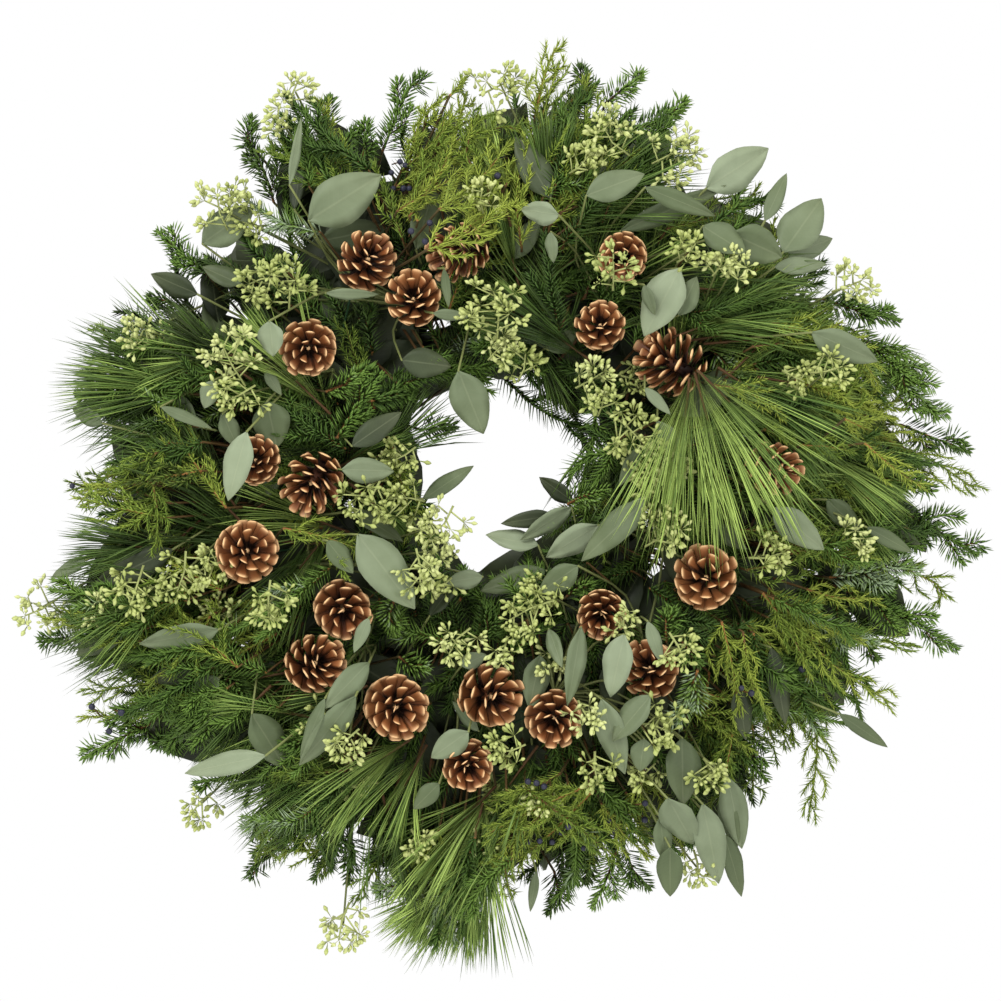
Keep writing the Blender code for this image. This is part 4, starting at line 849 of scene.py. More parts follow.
butt = {
    "radius": 0.0026, "pitch": 0.0068, "length": 0.022, "rail": 0.0019,
    "trunkRadius": 0.0018, "trunkStep": 0.006, "tone": 0.4, "sides": 6,
    # where the trunk leaves the rail, in lengths past the clamp, and how it turns out
    "lead": 0.9, "rowLead": 0.35, "bendOut": 0.3, "bendHigh": 0.6, "bendTurn": 0.03,
    # row at the clamp, depth of the butt, depth and outward reach of the trunk that follows it
    "fir": (1, 0.0037, 0.016, 0.030), "pine": (0, 0.0043, 0.036, 0.012),
    "cedar": (0, 0.0043, 0.036, 0.012), "eucalyptus": (-1, 0.0043, 0.060, -0.004),
}


def trunkOf(name):
    row, depth, high, out = butt[name[:-3]]
    angle = clampAngle(int(name[-2:]))
    turn = butt["length"] / view["ringRadius"]
    radius = view["ringRadius"] + butt["rail"] + row * butt["pitch"]
    ahead = angle + turn * (butt["lead"] + butt["rowLead"] * (1 - row))
    return [ringPlace(angle - turn / 2, radius, depth), ringPlace(angle + turn / 2, radius, depth),
            ringPlace(ahead, radius + out * butt["bendOut"], high * butt["bendHigh"]),
            ringPlace(ahead + butt["bendTurn"], radius + out, high)]


trunks = {name: trunkOf(name) for name in growths}
for name, trunk in trunks.items():
    tube(growths[name], evenPoints(smoothPath(trunk, 4), butt["trunkStep"]), butt["radius"],
         butt["trunkRadius"], butt["tone"], sides=butt["sides"])

sideStem = {
    "radius": 0.0010, "taper": 1.2, "lead": 0.15, "sink": 0.030, "sides": 4,
    # of the foliage between the table's pieces: start out from the rail and in front of it
    "backStart": (0.004, 0.006), "backTaper": 1.3, "backSink": 0.006, "backTone": 0.4,
}


def behind(place, sink):
    # A stem's middle, sunk towards the back and kept in front of it
    place[1] = min(view["backLimit"] - view["stemRoom"], place[1] + sink)
    return place


def stemTo(name, base, direction, radius, tone):
    # A side stem from the bunch's trunk that arrives along its spray
    start = trunks[name][-1]
    middle = start * 0.5 + base * 0.5 - direction * lengthOf(base - start) * sideStem["lead"]
    tube(growths[name], smoothPath([start, behind(middle, sideStem["sink"]), base], 3),
         radius * sideStem["taper"], radius, tone, sides=sideStem["sides"])


def stemBack(name, base):
    # A short stem from the row of trunks out to a piece of foliage between the others
    out, depth = sideStem["backStart"]
    start = ringPlace(flatAngle(base - ringCentre), view["ringRadius"] + out, depth)
    middle = behind((start + base) / 2, sideStem["backSink"])
    tube(growths[name], [start, middle, base], sideStem["radius"] * sideStem["backTaper"],
         sideStem["radius"], sideStem["backTone"])


# Pine cones
coneForm = {
    "length": 0.046, "usualWidth": 66, "depthShare": 0.80,
    "leanShare": 0.55, "leanLimit": 0.94,
    "scales": (38, 50), "goldenTurn": 2.39996, "firstTurn": 6,
    "firstRow": 0.10, "rowSpan": 0.66,
    "scaleWidth": 0.225, "widthFall": 0.45, "widthLoose": (0.9, 1.08),
    "baseAngle": 1.80, "apexAngle": 0.48, "anglePower": 0.8, "openness": (0.88, 1.08), "angleLoose": 0.09,
    # the cone's outline is a stretch of a sine
    "outlineStart": 0.16, "outlineSpan": 0.80, "outlinePower": 0.7, "outlineLoose": (0.92, 1.02),
    "core": 0.14, "shortest": 0.006, "longest": 1.15, "flattest": 0.45,
    "tone": (0.35, 0.65), "toneLoose": 0.25,
    "axle": (0.26, 0.06), "axleReach": 0.62, "axleTone": 0.1, "axleSides": 10,
}


def addCone(number, centre, apex, width):
    form = coneForm
    length = form["length"] * width / form["usualWidth"]
    radius = width * view["step"] / 2
    middle = frontPlace(centre, form["depthShare"])
    lean = (flatPlace(apex) - flatPlace(centre)) / (form["leanShare"] * length)
    reach = lengthOf(lean)
    if reach > form["leanLimit"]:
        lean *= form["leanLimit"] / reach
    axis = unit(lean + toViewer * math.sqrt(max(0.0, 1 - float(lean @ lean))))
    side = unit(np.cross(axis, np.array([0.3, 0.2, 1.0])))
    base = middle - axis * length / 2
    growth = Growth()
    count = int(rng.integers(*form["scales"]))
    share = (np.arange(count) + 0.5) / count
    turn = np.arange(count) * form["goldenTurn"] + rng.uniform(0, form["firstTurn"])
    out = fan(side, np.cross(axis, side), turn)
    late = share ** form["anglePower"]
    opening = form["baseAngle"] * (1 - late) + form["apexAngle"] * late
    opening = opening * rng.uniform(*form["openness"]) + about(form["angleLoose"], count)
    tone = rng.uniform(*form["tone"])
    outline = np.sin(math.pi * (form["outlineStart"] + form["outlineSpan"] * share)) ** form["outlinePower"]
    outline = radius * outline * rng.uniform(*form["outlineLoose"], count)
    aheads, tops = fan(axis, out, opening), fan(-out, axis, opening)
    core = radius * form["core"] * (1 - 0.5 * share)
    reaches = np.clip((outline - core) / np.maximum(form["flattest"], np.sin(opening)),
                      form["shortest"], radius * form["longest"])
    rows = length * (form["firstRow"] + form["rowSpan"] * share)
    starts = base + axis * rows[:, None] + out * core[:, None]
    wide = radius * 2 * form["scaleWidth"] * (1.0 - form["widthFall"] * share ** 2)
    wide = wide * rng.uniform(*form["widthLoose"], count) * math.sqrt(form["scales"][1] / count)
    copyMany(growth, "coneScale", starts, aheads * reaches[:, None], np.cross(tops, aheads) * wide[:, None],
             tops * wide[:, None], tone + about(form["toneLoose"], count))
    tube(growth, [base, middle, base + axis * length * form["axleReach"]], radius * form["axle"][0],
         radius * form["axle"][1], form["axleTone"], "foliage", form["axleSides"])
    name = "pine_cone_%02d" % number
    return finishPiece("pineCone_%02d" % number, growth, [finish["cone"]], [name])


coneTotal = sum(addCone(number, *row) for number, row in enumerate(coneTable, 1))
print("cones", len(coneTable), "triangles", coneTotal)

# Eucalyptus leaves
leafSettings = {
    "roll": 0.55, "droop": 0.10, "petiole": 0.0009, "petioleTone": 0.3,
    "tipDepth": 0.96, "steepest": 0.6, "ease": 0.3,
}


def addLeaves(name, rows, shape):
    # rows: base, tip, width, tone, roll
    base, tip, width, tone, roll = (np.array(column) for column in zip(*rows))
    ahead = tip - base
    length = np.linalg.norm(ahead, axis=1)[:, None]
    direction = ahead / length
    side = units(np.cross(direction, -np.broadcast_to(toViewer, direction.shape)))
    top = np.cross(direction, side)
    top = np.where((top @ toViewer)[:, None] < 0, -top, top)
    turned = fan(side, top, roll)
    face = np.cross(direction, turned)
    face = np.where((face @ toViewer)[:, None] < 0, -face, face)
    droop = -face * length * leafSettings["droop"]
    copyMany(growths[name], shape, base, ahead - droop * 0.5, turned * width[:, None], face * width[:, None],
             tone, bends=droop)


placed = {name: [] for name in kindNodes["eucalyptus"]}
for base, tip, width, share, tone in leafTable:
    places = [frontPlace(base, share), frontPlace(tip, share * leafSettings["tipDepth"])]
    name = findNode("eucalyptus", places[1])
    start, end = settle(name, places)
    if abs(start[1] - end[1]) > leafSettings["steepest"] * lengthOf(flatPlace(tip) - flatPlace(base)):
        start[1] = end[1] * (1 - leafSettings["ease"]) + start[1] * leafSettings["ease"]
    placed[name].append((start, end, width * view["step"], tone, about(1) * leafSettings["roll"]))
for name, rows in placed.items():
    if rows:
        addLeaves(name, rows, "leaf")
        for start, end, width, tone, roll in rows:
            stemTo(name, start, unit(end - start), leafSettings["petiole"], leafSettings["petioleTone"])
print("leaves", sum(len(rows) for rows in placed.values()))

# Seed clusters: umbels of buds on side stalks, left and right of a thin axis
seedForm = {
    "umbels": 8, "usualWidth": 50, "fewest": 3, "buds": 8,
    "budLength": 0.0108, "budWidth": 0.0034, "budSize": (0.75, 1.12),
    "spray": 0.50, "budLoose": 0.62, "tone": (0.35, 0.85), "toneLoose": 0.2,
    "outward": (0.3, 1.0), "axisLoose": 0.7, "axisFront": 0.2,
    "axisStart": 0.45, "axisEnd": 0.28, "axisSway": 0.08, "axisTaper": 1.5, "axisTone": 0.8,
    "firstJoint": 0.15, "spread": 0.40, "reach": (0.45, 1.1), "reachFall": 0.35,
    "turn": 0.9, "rise": (-0.2, 0.9), "stalk": 0.0007, "stalkTaper": 1.1, "stalkTone": 0.95,
    "leadAlong": 0.3, "leadFront": 0.25,
    "stem": 0.0008, "stemTone": 0.2, "stemBehind": 0.006,
}


def addSeeds(name, hub, width, umbels):
    form, growth, stalk = seedForm, growths[name], seedForm["stalk"]
    outward = unit((hub - ringCentre) * np.array([1.0, 0.0, 1.0]))
    axis = unit(outward * rng.uniform(*form["outward"]) + sideOf(outward) * rng.normal(0, form["axisLoose"])
                + toViewer * form["axisFront"])
    side = unit(np.cross(axis, toViewer))
    start = hub - axis * width * form["axisStart"]
    end = hub + axis * width * form["axisEnd"]
    tube(growth, [start, (start + end) / 2 + side * width * about(form["axisSway"]), end],
         stalk * form["axisTaper"], stalk, form["axisTone"])
    starts, aheads, tones = [], [], []
    tone = rng.uniform(*form["tone"])
    for k in range(umbels):
        share = k / (umbels - 1)
        joint = start + (end - start) * (form["firstJoint"] + (1 - form["firstJoint"]) * share)
        reach = 0.0
        if share < 1:
            reach = width * form["spread"] * rng.uniform(*form["reach"]) * (1 - form["reachFall"] * share)
        turn = about(form["turn"])
        knot = (joint + side * reach * math.cos(turn) * (1 if k % 2 else -1)
                + axis * reach * rng.uniform(*form["rise"]) + toViewer * reach * math.sin(turn))
        if reach > 0:
            tube(growth, [joint, knot], stalk * form["stalkTaper"], stalk, form["stalkTone"])
        lead = unit(knot - joint + axis * form["leadAlong"] * width + toViewer * form["leadFront"] * width)
        for _ in range(form["buds"]):
            starts.append(knot)
            aheads.append(unit(lead * form["spray"] + rng.normal(0, form["budLoose"], 3)))
            tones.append(tone + about(form["toneLoose"]))
    starts, aheads = np.array(starts), np.array(aheads)
    across = units(np.cross(aheads, [0.3, 0.9, 0.2]))
    size = rng.uniform(*form["budSize"], len(starts))[:, None]
    copyMany(growth, "bud", starts, aheads * size * form["budLength"], across * size * form["budWidth"],
             np.cross(aheads, across) * size * form["budWidth"], np.array(tones), "fruit")


for hub, width, share in seedTable:
    place = frontPlace(hub, share)
    name = findNode("eucalyptus", place)
    place = settle(name, [place])[0]
    umbels = max(seedForm["fewest"], round(seedForm["umbels"] * width / seedForm["usualWidth"]))
    addSeeds(name, place, width * view["step"], umbels)
    stemTo(name, place - toViewer * seedForm["stemBehind"], unit(place - trunks[name][-1]), seedForm["stem"],
           seedForm["stemTone"])
print("seed clusters", len(seedTable))

# Sprays with needles along a stem and its side twigs
sprayForms = {
    # needles: shape, spacing, length, width, angle to the stem and its looseness, how much shorter those
    # above the stem are, and rows round it; twigs: spacing, length, angle, rise, and how far the needles
    # of the spray's tip reach past its stem
    "fir": {"shape": "needle", "spacing": 0.0017, "length": 0.0150, "width": 0.0024,
            "angle": 1.02, "loose": 0.10, "flat": 0.35, "rows": (0.0, math.pi, 1.2, 1.95),
            "twigs": 0.019, "twigLength": 0.036, "twigAngle": 0.80, "rise": 0.35, "overhang": 0.011},
    "cedar": {"shape": "sprig", "spacing": 0.0021, "length": 0.0092, "width": 0.0019,
              "angle": 0.62, "loose": 0.26, "flat": 0.25, "rows": (0.0, math.pi, 1.4),
              "twigs": 0.0078, "twigLength": 0.034, "twigAngle": 0.58, "rise": 0.9, "overhang": 0.006},
}
sprayStem = {
    "radius": 0.0011, "taper": 0.45, "step": 0.014, "tone": (0.4, 0.9), "upLoose": 0.28, "sides": 4,
    "coarseFrom": 1.2, "coarseWidth": 1.15, "fade": 0.45, "middleFront": 0.003, "middleLoose": 0.002,
    "pullShare": 0.3, "sideStemTone": 0.10,
}
twigForm = {
    "first": (0.4, 0.9), "pitch": (0.65, 1.35), "longest": 0.42, "size": (0.65, 1.15),
    "baseSize": 1.05, "sizeFall": 0.72, "leanLoose": 1.3, "riseMiddle": 0.05, "riseLoose": 0.3,
    "bendLoose": 0.10, "middle": 0.55, "curve": 0.45, "radius": (0.6, 0.35),
    "tone": (-0.05, 0.16), "fade": 0.35,
}
needleForm = {
    "turnLoose": 0.3, "leanFall": 0.45, "sizeLoose": (-1.6, 0.8), "thickness": 0.55, "toneLoose": 0.14,
}


def addNeedles(growth, points, up, form, tone, fade):
    ahead, side, top = frames(points, up)
    count = len(points)
    share = np.linspace(0, 1, count)
    for row, turn in enumerate(form["rows"]):
        out = fan(side, top, turn + about(needleForm["turnLoose"], count))
        lean = form["angle"] * (1 - needleForm["leanFall"] * share ** 2) + rng.normal(0, form["loose"], count)
        direction = fan(ahead, out, lean)
        size = form["length"] * (1 - fade * share ** 2) * (1 - form["flat"] * abs(math.sin(turn)))
        size = size * (1 + rng.uniform(*needleForm["sizeLoose"], count) * form["loose"])
        across = units(np.cross(direction, out + 1e-6)) * form["width"]
        thick = np.cross(direction, across) * needleForm["thickness"]
        start = points + ahead * (form["spacing"] * row / len(form["rows"]))
        copyMany(growth, form["shape"], start, direction * size[:, None], across, thick,
                 np.clip(tone + about(needleForm["toneLoose"], count), 0, 1))


def addSpray(name, kind, path, tone, twigs=1.0, coarse=1.0):
    growth = growths[name]
    form = dict(sprayForms[kind])
    form["spacing"] *= coarse
    if coarse > sprayStem["coarseFrom"]:
        form["shape"] = "sprig"
        form["width"] *= sprayStem["coarseWidth"]
    points = evenPoints(smoothPath(path), form["spacing"])
    # Painted shade and light at the middle of the spray
    tone = shadedAndLit(tone, points[len(points) // 2])
    reach = float(np.linalg.norm(np.diff(points, axis=0), axis=1).sum())
    up = unit(toViewer + rng.normal(0, sprayStem["upLoose"], 3))
    barkTone = rng.uniform(*sprayStem["tone"])
    radius = sprayStem["radius"]
    tube(growth, evenPoints(points, sprayStem["step"]), radius, radius * sprayStem["taper"], barkTone,
         sides=sprayStem["sides"])
    addNeedles(growth, points, up, form, tone, sprayStem["fade"])
    ahead, side, top = frames(points, up)
    step = form["twigs"] / twigs / form["spacing"]
    place, order = step * rng.uniform(*twigForm["first"]), int(rng.integers(2))
    while place < len(points) - 2:
        at = int(place)
        share = at / len(points)
        size = min(form["twigLength"], reach * twigForm["longest"])
        size = size * (twigForm["baseSize"] - twigForm["sizeFall"] * share) * rng.uniform(*twigForm["size"])
        lean = form["twigAngle"] * (1 + rng.normal(0, twigForm["leanLoose"]) * form["loose"])
        direction = (ahead[at] * math.cos(lean) + side[at] * (1 if order % 2 else -1) * math.sin(lean)
                     + top[at] * rng.normal(twigForm["riseMiddle"], form["rise"] * twigForm["riseLoose"]))
        bend = side[at] * rng.normal(0, twigForm["bendLoose"]) * size
        middle = points[at] + direction * size * twigForm["middle"] + bend
        end = points[at] + unit(direction + ahead[at] * twigForm["curve"]) * size
        twig = evenPoints(smoothPath([points[at], middle, end], 3), form["spacing"])
        if kind == "fir":
            tube(growth, twig[::max(1, len(twig) // 3)], radius * twigForm["radius"][0],
                 radius * twigForm["radius"][1], barkTone)
        addNeedles(growth, twig, up, form, tone + rng.uniform(*twigForm["tone"]), twigForm["fade"])
        place += step * rng.uniform(*twigForm["pitch"])
        order += 1


def addTableSprays(kind, table):
    for steps, share, tone in table:
        places = [frontPlace(step, share) for step in steps]
        name = findNode(kind, places[-1])
        places = settle(name, places)
        span = places[-1] - places[-2]
        short = min(sprayForms[kind]["overhang"], sprayStem["pullShare"] * lengthOf(span))
        places[-1] = places[-1] - unit(span) * short
        if len(places) == 2:
            middle = (places[0] + places[1]) / 2 + toViewer * sprayStem["middleFront"]
            places.insert(1, middle + rng.normal(0, sprayStem["middleLoose"], 3))
        addSpray(name, kind, places, tone)
        stemTo(name, places[0], unit(places[1] - places[0]), sideStem["radius"], sprayStem["sideStemTone"])


addTableSprays("fir", firTable)
addTableSprays("cedar", cedarTable)
print("sprays", len(firTable) + len(cedarTable))

# White pine: long thin needles that fan from the end of a twig, in bundles
pineForm = {
    "bundle": 4, "needles": 108, "width": 0.0012, "length": (0.80, 1.03), "twig": 0.036, "twigBase": 0.6,
    "splay": 0.50, "baseSplay": 1.15, "splayFall": 0.55, "narrowest": 0.02, "flat": 0.65, "lift": 0.12,
    "loose": 0.045, "droop": 0.12, "curl": (0.09, 0.03), "counterBend": 0.4, "toneLoose": (0.12, 0.08),
    "twigRadius": (0.0012, 0.0007), "twigTone": 0.3, "twigSides": 5, "stemTone": 0.05,
    # the bright tufts in front, and the narrow dark ones
    "keyNeedles": 92, "keySplay": 1.15, "keyWidth": 0.0010, "frontLimit": -0.128,
    "darkTone": 0.25, "darkSplay": 0.55,
}


def addTuft(name, root, tip, tone, needles, splay=1.0, width=pineForm["width"]):
    form, growth, twig = pineForm, growths[name], pineForm["twig"]
    # Painted shade and light at the middle of the tuft
    tone = shadedAndLit(tone, (root + tip) / 2)
    ahead = unit(tip - root)
    side = unit(np.cross(ahead, toViewer + np.array([0.1, 0, 0.2])))
    top = np.cross(side, ahead)
    top = top if top @ toViewer > 0 else -top
    bundle = form["bundle"]
    groups = needles // bundle
    share = rng.uniform(0, 1, groups)
    opening = form["splay"] * splay * (form["baseSplay"] - form["splayFall"] * share)
    opening = opening * np.sqrt(rng.uniform(form["narrowest"], 1.0, groups))
    turn = rng.uniform(0, 2 * math.pi, groups)
    share, opening, turn = (np.repeat(values, bundle) for values in (share, opening, turn))
    count = len(share)
    starts = root + ahead * (twig * (share - form["twigBase"]))[:, None]
    out = side * np.cos(turn)[:, None] + top * (np.sin(turn) * form["flat"] + form["lift"])[:, None]
    direction = units(fan(ahead, out, opening) + rng.normal(0, form["loose"], (count, 3)))
    size = (lengthOf(tip - root) + twig * (form["twigBase"] - share)) * rng.uniform(*form["length"], count)
    curl = (np.repeat(rng.normal(0, form["curl"][0], (groups, 3)), bundle, axis=0)
            + rng.normal(0, form["curl"][1], (count, 3)))
    bends = (np.array([0, 0, -1.0]) * form["droop"] + curl) * size[:, None]
    bends -= direction * np.sum(bends * direction, axis=1)[:, None]
    across = units(np.cross(direction, [0.2, 0.9, 0.3])) * width
    tones = (np.repeat(rng.normal(0, form["toneLoose"][0], groups), bundle)
             + rng.normal(0, form["toneLoose"][1], count))
    copyMany(growth, "longNeedle", starts, direction * size[:, None] - bends * form["counterBend"], across,
             np.cross(direction, across), np.clip(tone + tones, 0, 1), bends=bends)
    tube(growth, [root - ahead * twig * 0.5, root, root + ahead * twig * 0.5], *form["twigRadius"],
         form["twigTone"], sides=form["twigSides"])


for root, tip, share, tone in pineTable:
    places = [frontPlace(root, share), frontPlace(tip, share)]
    name = findNode("pine", places[1])
    start, end = settle(name, places)
    if share > 1:
        for place in (start, end):
            place[1] = max(place[1], pineForm["frontLimit"])
        addTuft(name, start, end, tone, pineForm["keyNeedles"], pineForm["keySplay"], pineForm["keyWidth"])
    else:
        splay = pineForm["darkSplay"] if tone < pineForm["darkTone"] else 1.0
        addTuft(name, start, end, tone, pineForm["needles"], splay)
    ahead = unit(end - start)
    stemTo(name, start - ahead * pineForm["twig"] * 0.5, ahead, sideStem["radius"], pineForm["stemTone"])
print("pine tufts", len(pineTable))

# Juniper berries sit on short stalks in front of their sprays
berryForm = {
    "size": 0.0052, "sizeLoose": (0.85, 1.15), "depthShare": 0.80, "front": 0.003, "loose": 0.5,
    "tone": (0.1, 1.0), "stalk": 0.0006, "stalkBack": 0.008, "stalkFront": 0.001, "stalkTone": 0.5,
}
for step in berryTable:
    place = frontPlace(step, berryForm["depthShare"])
    name = findNode("cedar", place)
    place = settle(name, [place])[0] + toViewer * berryForm["front"]
    # Each berry turns its pale end, partly a painted highlight, towards the front
    direction = unit(toViewer + rng.normal(0, berryForm["loose"], 3))
    side = unit(np.cross(direction, [0, 0.2, 1]))
    size = berryForm["size"] * rng.uniform(*berryForm["sizeLoose"])
    copyMany(growths[name], "berry", place[None], (direction * size)[None], (side * size)[None],
             (np.cross(direction, side) * size)[None], rng.uniform(*berryForm["tone"], 1), "fruit")
    stalk = [place - direction * berryForm["stalkBack"], place + direction * berryForm["stalkFront"]]
    tube(growths[name], stalk, berryForm["stalk"], berryForm["stalk"], berryForm["stalkTone"])
print("berries", len(berryTable))

# Foliage between the pieces above, in layers from the back to the front
layers = {
    # kind of the bunches that hold it, count, length, share of the front depth and tone; an even layer is
    # laid in a spiral instead of by chance; rim, outer and margin are its own limits where it has them;
    # outward is how much the leaves that lie along the ring turn out or in
    # The back and ring leaves take only the darkest tones, and the back fir darker ones than the fir in
    # front, as painted shade deep in the wreath
    "backLeaves": {"kind": "eucalyptus", "count": 640, "length": (0.050, 0.085), "depth": (0.04, 0.34),
                   "tone": (0.0, 0.14), "rim": 0.885, "margin": 0.008, "even": True,
                   "leaf": "backLeaf", "width": (0.45, 0.60), "roll": 0.7},
    "ringLeaves": {"kind": "eucalyptus", "count": 260, "length": (0.045, 0.072), "depth": (0.05, 0.34),
                   "tone": (0.0, 0.14), "outer": 0.220, "margin": 0.004, "even": True, "outward": 0.25,
                   "leaf": "backLeaf", "width": (0.45, 0.60), "roll": 0.7},
    "backFir": {"kind": "fir", "count": 190, "length": (0.065, 0.110), "depth": (0.04, 0.50),
                "tone": (0.10, 0.60), "twigs": 0.5, "coarse": 1.50},
    "innerFir": {"kind": "fir", "count": 105, "length": (0.030, 0.055), "depth": (0.15, 0.70),
                 "tone": (0.20, 0.80), "outer": 0.145, "twigs": 0.5, "coarse": 1.50},
    "fir": {"kind": "fir", "count": 110, "length": (0.055, 0.090), "depth": (0.45, 0.82),
            "tone": (0.25, 0.90), "twigs": 0.6, "coarse": 1.50},
    "pine": {"kind": "pine", "count": 80, "length": (0.060, 0.100), "depth": (0.35, 0.76),
             "tone": (0.20, 0.80), "needles": 60},
    "cedar": {"kind": "cedar", "count": 96, "length": (0.045, 0.085), "depth": (0.40, 0.84),
              "tone": (0.30, 0.90), "twigs": 0.85, "coarse": 1.30},
    "leaves": {"kind": "eucalyptus", "count": 36, "length": (0.032, 0.055), "depth": (0.40, 0.78),
               "tone": (0.10, 0.50), "leaf": "leaf", "width": (0.42, 0.58), "roll": 0.9},
    "seeds": {"kind": "eucalyptus", "count": 4, "length": (0.020, 0.030), "depth": (0.60, 0.85),
              "tone": (0.3, 0.8), "cluster": 0.036, "umbels": 4},
}
room = {
    "inner": 0.078, "outer": 0.325, "rim": 0.95, "baseRim": 0.97, "margin": 0.004,
    "kindReach": 0.055, "coneRoom": 0.030, "frontFrom": 0.5,
    # foliage flows outwards from here, inwards up to here, and either way between
    "outwardFrom": 0.135, "inwardTo": 0.105, "inward": -0.9, "eitherWay": [-0.5, 0.7],
    "swirl": (0.25, 0.55), "tries": 400, "evenTries": 40,
    "leafSide": 0.22, "leafMiddle": 0.45,
    "tipDepth": (0.75, 1.1), "arch": 0.06, "middleLoose": 0.004,
}
kindPlaces = {
    "fir": np.array([frontPlace(steps[0], 0.5) for steps, share, tone in firTable]),
    "cedar": np.array([frontPlace(steps[0], 0.5) for steps, share, tone in cedarTable]),
    "pine": np.array([frontPlace(row[0], 0.5) for row in pineTable]),
    "leaves": np.array([frontPlace(row[0], 0.5) for row in leafTable]),
    "seeds": np.array([frontPlace(row[0], 0.5) for row in seedTable]),
}
conePlaces = np.array([frontPlace(centre, coneForm["depthShare"]) for centre, apex, width in coneTable])


def outlineReach(outline, centre):
    # An outline as distances from its centre, for each direction
    aways = sorted((flatPlace(step) - flatPlace(centre) for step in outline), key=flatAngle)
    return [flatAngle(away) for away in aways], [flatLength(away) for away in aways]


rim = outlineReach(rimOutline, view["ringCentreStep"])
hole = outlineReach(holeOutline, view["holeCentreStep"])


def insideBody(place, rimShare, holeMargin):
    # Inside a share of the rim, and out of the hole
    fromRing, fromHole = place - ringCentre, place - flatPlace(view["holeCentreStep"])
    rimReach = np.interp(flatAngle(fromRing), *rim, period=2 * math.pi)
    holeReach = np.interp(flatAngle(fromHole), *hole, period=2 * math.pi)
    return flatLength(fromRing) < rimReach * rimShare and flatLength(fromHole) > holeReach + holeMargin


def clearOf(points, places):
    # The least distance across the view between any two of them
    away = np.array(places)[:, None, [0, 2]] - points[None, :, [0, 2]]
    return float(np.linalg.norm(away, axis=2).min())


def layerPath(layer, order):
    # A base and a tip that flow away from the ring, inside the rim and out of the hole
    settings = layers[layer]
    margin = settings.get("margin", room["margin"])
    even = "even" in settings
    for _ in range(room["evenTries"] if even else room["tries"]):
        if even:
            angle, area = order * coneForm["goldenTurn"], (order + 0.5) / settings["count"]
        else:
            angle, area = about(math.pi), rng.uniform(0, 1)
        inner, outer = room["inner"] ** 2, settings.get("outer", room["outer"]) ** 2
        radius = math.sqrt(inner + (outer - inner) * area)
        base = ringPlace(angle, radius, 0.0)
        if layer in kindPlaces and clearOf(kindPlaces[layer], [base]) >= room["kindReach"]:
            continue
        outward = unit(base - ringCentre)
        if radius > room["outwardFrom"]:
            flow = outward * 1.0
        else:
            flow = outward * (room["inward"] if radius < room["inwardTo"] else rng.choice(room["eitherWay"]))
        if "outward" in settings:
            direction = unit(flow * settings["outward"] * about(1) + sideOf(outward) * rng.choice([-1, 1]))
        else:
            direction = unit(flow + sideOf(outward) * rng.normal(*room["swirl"]))
        length = rng.uniform(*settings["length"])
        tip = base + direction * length
        if not (insideBody(tip, settings.get("rim", room["rim"]), margin)
                and insideBody(base, room["baseRim"], margin)):
            continue
        if even:
            edge = sideOf(direction) * length * room["leafSide"]
            middle = base + direction * length * room["leafMiddle"]
            if not all(insideBody(middle + way * edge, room["baseRim"], 0.0) for way in (1, -1)):
                continue
        share = rng.uniform(*settings["depth"])
        nearCone = clearOf(conePlaces, [base, (base + tip) / 2, tip]) <= room["coneRoom"]
        if share > room["frontFrom"] and nearCone:
            continue
        base = base + toViewer * depthAt(base, share)
        tip = tip + toViewer * depthAt(tip, share * rng.uniform(*room["tipDepth"]))
        middle = (base + tip) / 2 + toViewer * length * room["arch"] + rng.normal(0, room["middleLoose"], 3)
        return [base, middle, tip], rng.uniform(*settings["tone"])
    return None, 0.0


leafRows = {shape: {name: [] for name in kindNodes["eucalyptus"]} for shape in ("backLeaf", "leaf")}
for layer, settings in layers.items():
    for order in range(settings["count"]):
        path, tone = layerPath(layer, order)
        if path is None:
            continue
        base, middle, tip = path
        name = clampNode(settings["kind"], base)
        if "leaf" in settings:
            width = lengthOf(tip - base) * rng.uniform(*settings["width"])
            leafRows[settings["leaf"]][name].append((base, tip, width, tone, about(settings["roll"])))
        elif "cluster" in settings:
            addSeeds(name, base, settings["cluster"], settings["umbels"])
        elif "needles" in settings:
            addTuft(name, base, tip, tone, settings["needles"])
        else:
            addSpray(name, settings["kind"], path, tone, settings["twigs"], settings["coarse"])
        stemBack(name, base)
for shape, rowsOf in leafRows.items():
    for name, rows in rowsOf.items():
        if rows:
            addLeaves(name, rows, shape)
print("between them", {layer: settings["count"] for layer, settings in layers.items()})

# The bunches of each kind: materials of foliage, stems and fruit, and the record's slot
materialsOf = {
    "fir": (("fir", "bark"), "fir_needles"),
    "pine": (("pine", "bark"), "white_pine_needles"),
    "cedar": (("cedar", "bark", "berry"), "cedar_foliage"),
    "eucalyptus": (("leaf", "stalk", "seed"), "eucalyptus_leaves"),
}
sizes = {}
for name, growth in growths.items():
    used, slotName = materialsOf[name[:-3]]
    sizes[name] = finishPiece(name[:-3] + "Bunch_" + name[-2:], growth, [finish[key] for key in used],
                              [name])
print("bunches", len(sizes), "triangles", sum(sizes.values()), "largest", max(sizes.values()))

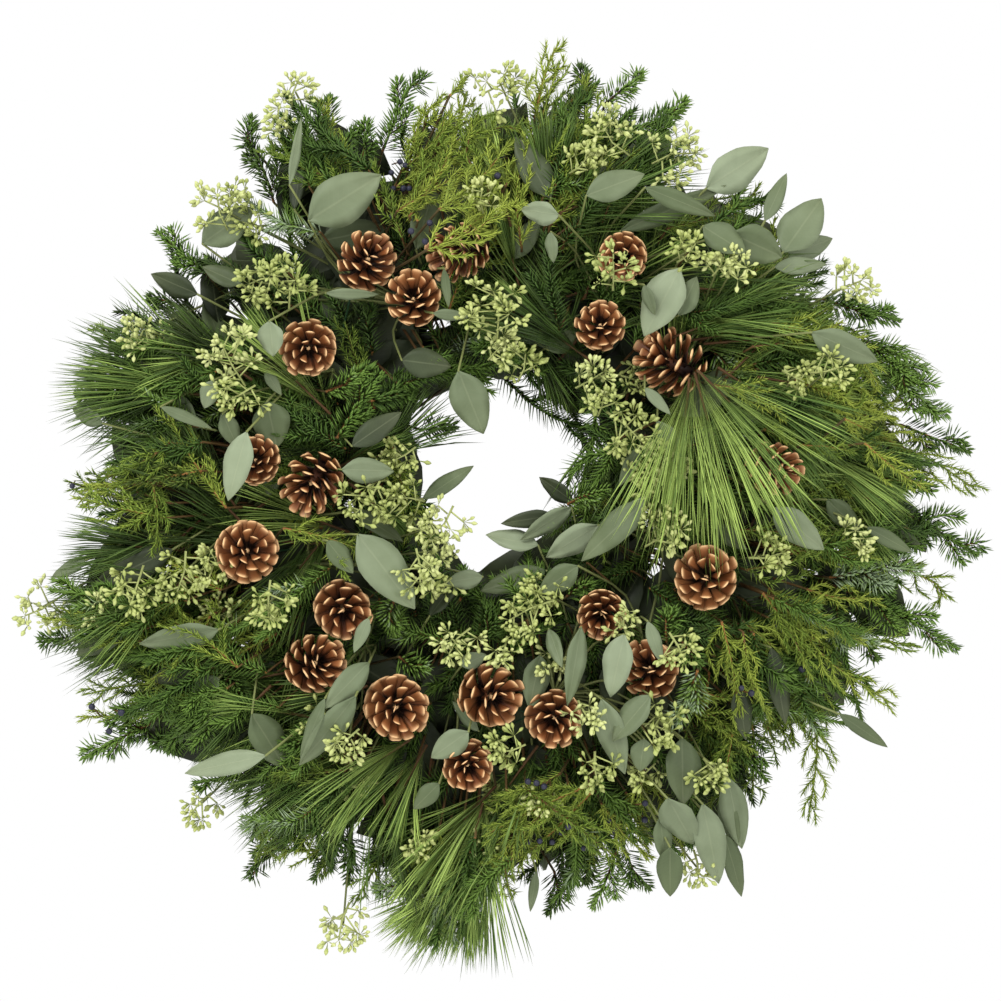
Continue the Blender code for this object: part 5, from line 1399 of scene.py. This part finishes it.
# The wire ring keeps its own mesh and gets green lacquer
lacquer = {"dark": (22, 44, 28), "light": (38, 70, 44), "grain": 220, "detail": 2.0, "roughness": 0.38}
lacquerMaterial, tree, shader = newMaterial("greenLacqueredWire")
lacquerColour = rampOf(tree, [(0.0, lacquer["dark"]), (1.0, lacquer["light"])],
                       grainOf(tree, lacquer["grain"], lacquer["detail"]))
tree.links.new(lacquerColour, shader.inputs["Base Color"])
shader.inputs["Roughness"].default_value = lacquer["roughness"]
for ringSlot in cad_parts["ring_frame"].material_slots:
    ringSlot.material = lacquerMaterial

# Floor, light and camera
studio = {
    "floorSize": 5.0, "floorHeight": -1.3, "floorColour": (0.86, 0.86, 0.86, 1), "floorRoughness": 0.8,
    "world": 1.0,
    # place, size and power of each light, and the point that they face
    "key": ((-2.2, -3.6, 2.6), 2.2, 170), "fill": ((3.0, -3.4, 0.6), 2.6, 60), "aim": (0, -0.05, -0.165),
    "distance": 8.0, "sensor": 36.0, "frameSteps": 1001, "middle": (500.5, 500.5),
}
deselectAll()
bpy.ops.mesh.primitive_plane_add(size=studio["floorSize"], location=(0, 0, studio["floorHeight"]))
floor = bpy.context.object
floor.name = "floor"
paint, tree, shader = newMaterial("paleFloor")
shader.inputs["Base Color"].default_value = studio["floorColour"]
shader.inputs["Roughness"].default_value = studio["floorRoughness"]
floor.data.materials.append(paint)

world = bpy.data.worlds.new("studio")
bpy.context.scene.world = world
world.use_nodes = True
world.node_tree.nodes["Background"].inputs["Color"].default_value = (1, 1, 1, 1)
world.node_tree.nodes["Background"].inputs["Strength"].default_value = studio["world"]

for name in ("key", "fill"):
    place, size, power = studio[name]
    light = bpy.data.lights.new(name, "AREA")
    light.size = size
    light.energy = power
    lamp = addObject(name, light)
    lamp.location = place
    lamp.rotation_euler = (Vector(studio["aim"]) - Vector(place)).to_track_quat("-Z", "Y").to_euler()

lens = bpy.data.cameras.new("front")
lens.sensor_width = studio["sensor"]
lens.lens = studio["sensor"] * studio["distance"] / (studio["frameSteps"] * view["step"])
camera = addObject("front", lens)
camera.location = flatPlace(studio["middle"]) + toViewer * studio["distance"]
camera.rotation_euler = (math.pi / 2, 0, 0)
bpy.context.scene.camera = camera
bpy.context.scene.view_settings.view_transform = "Standard"
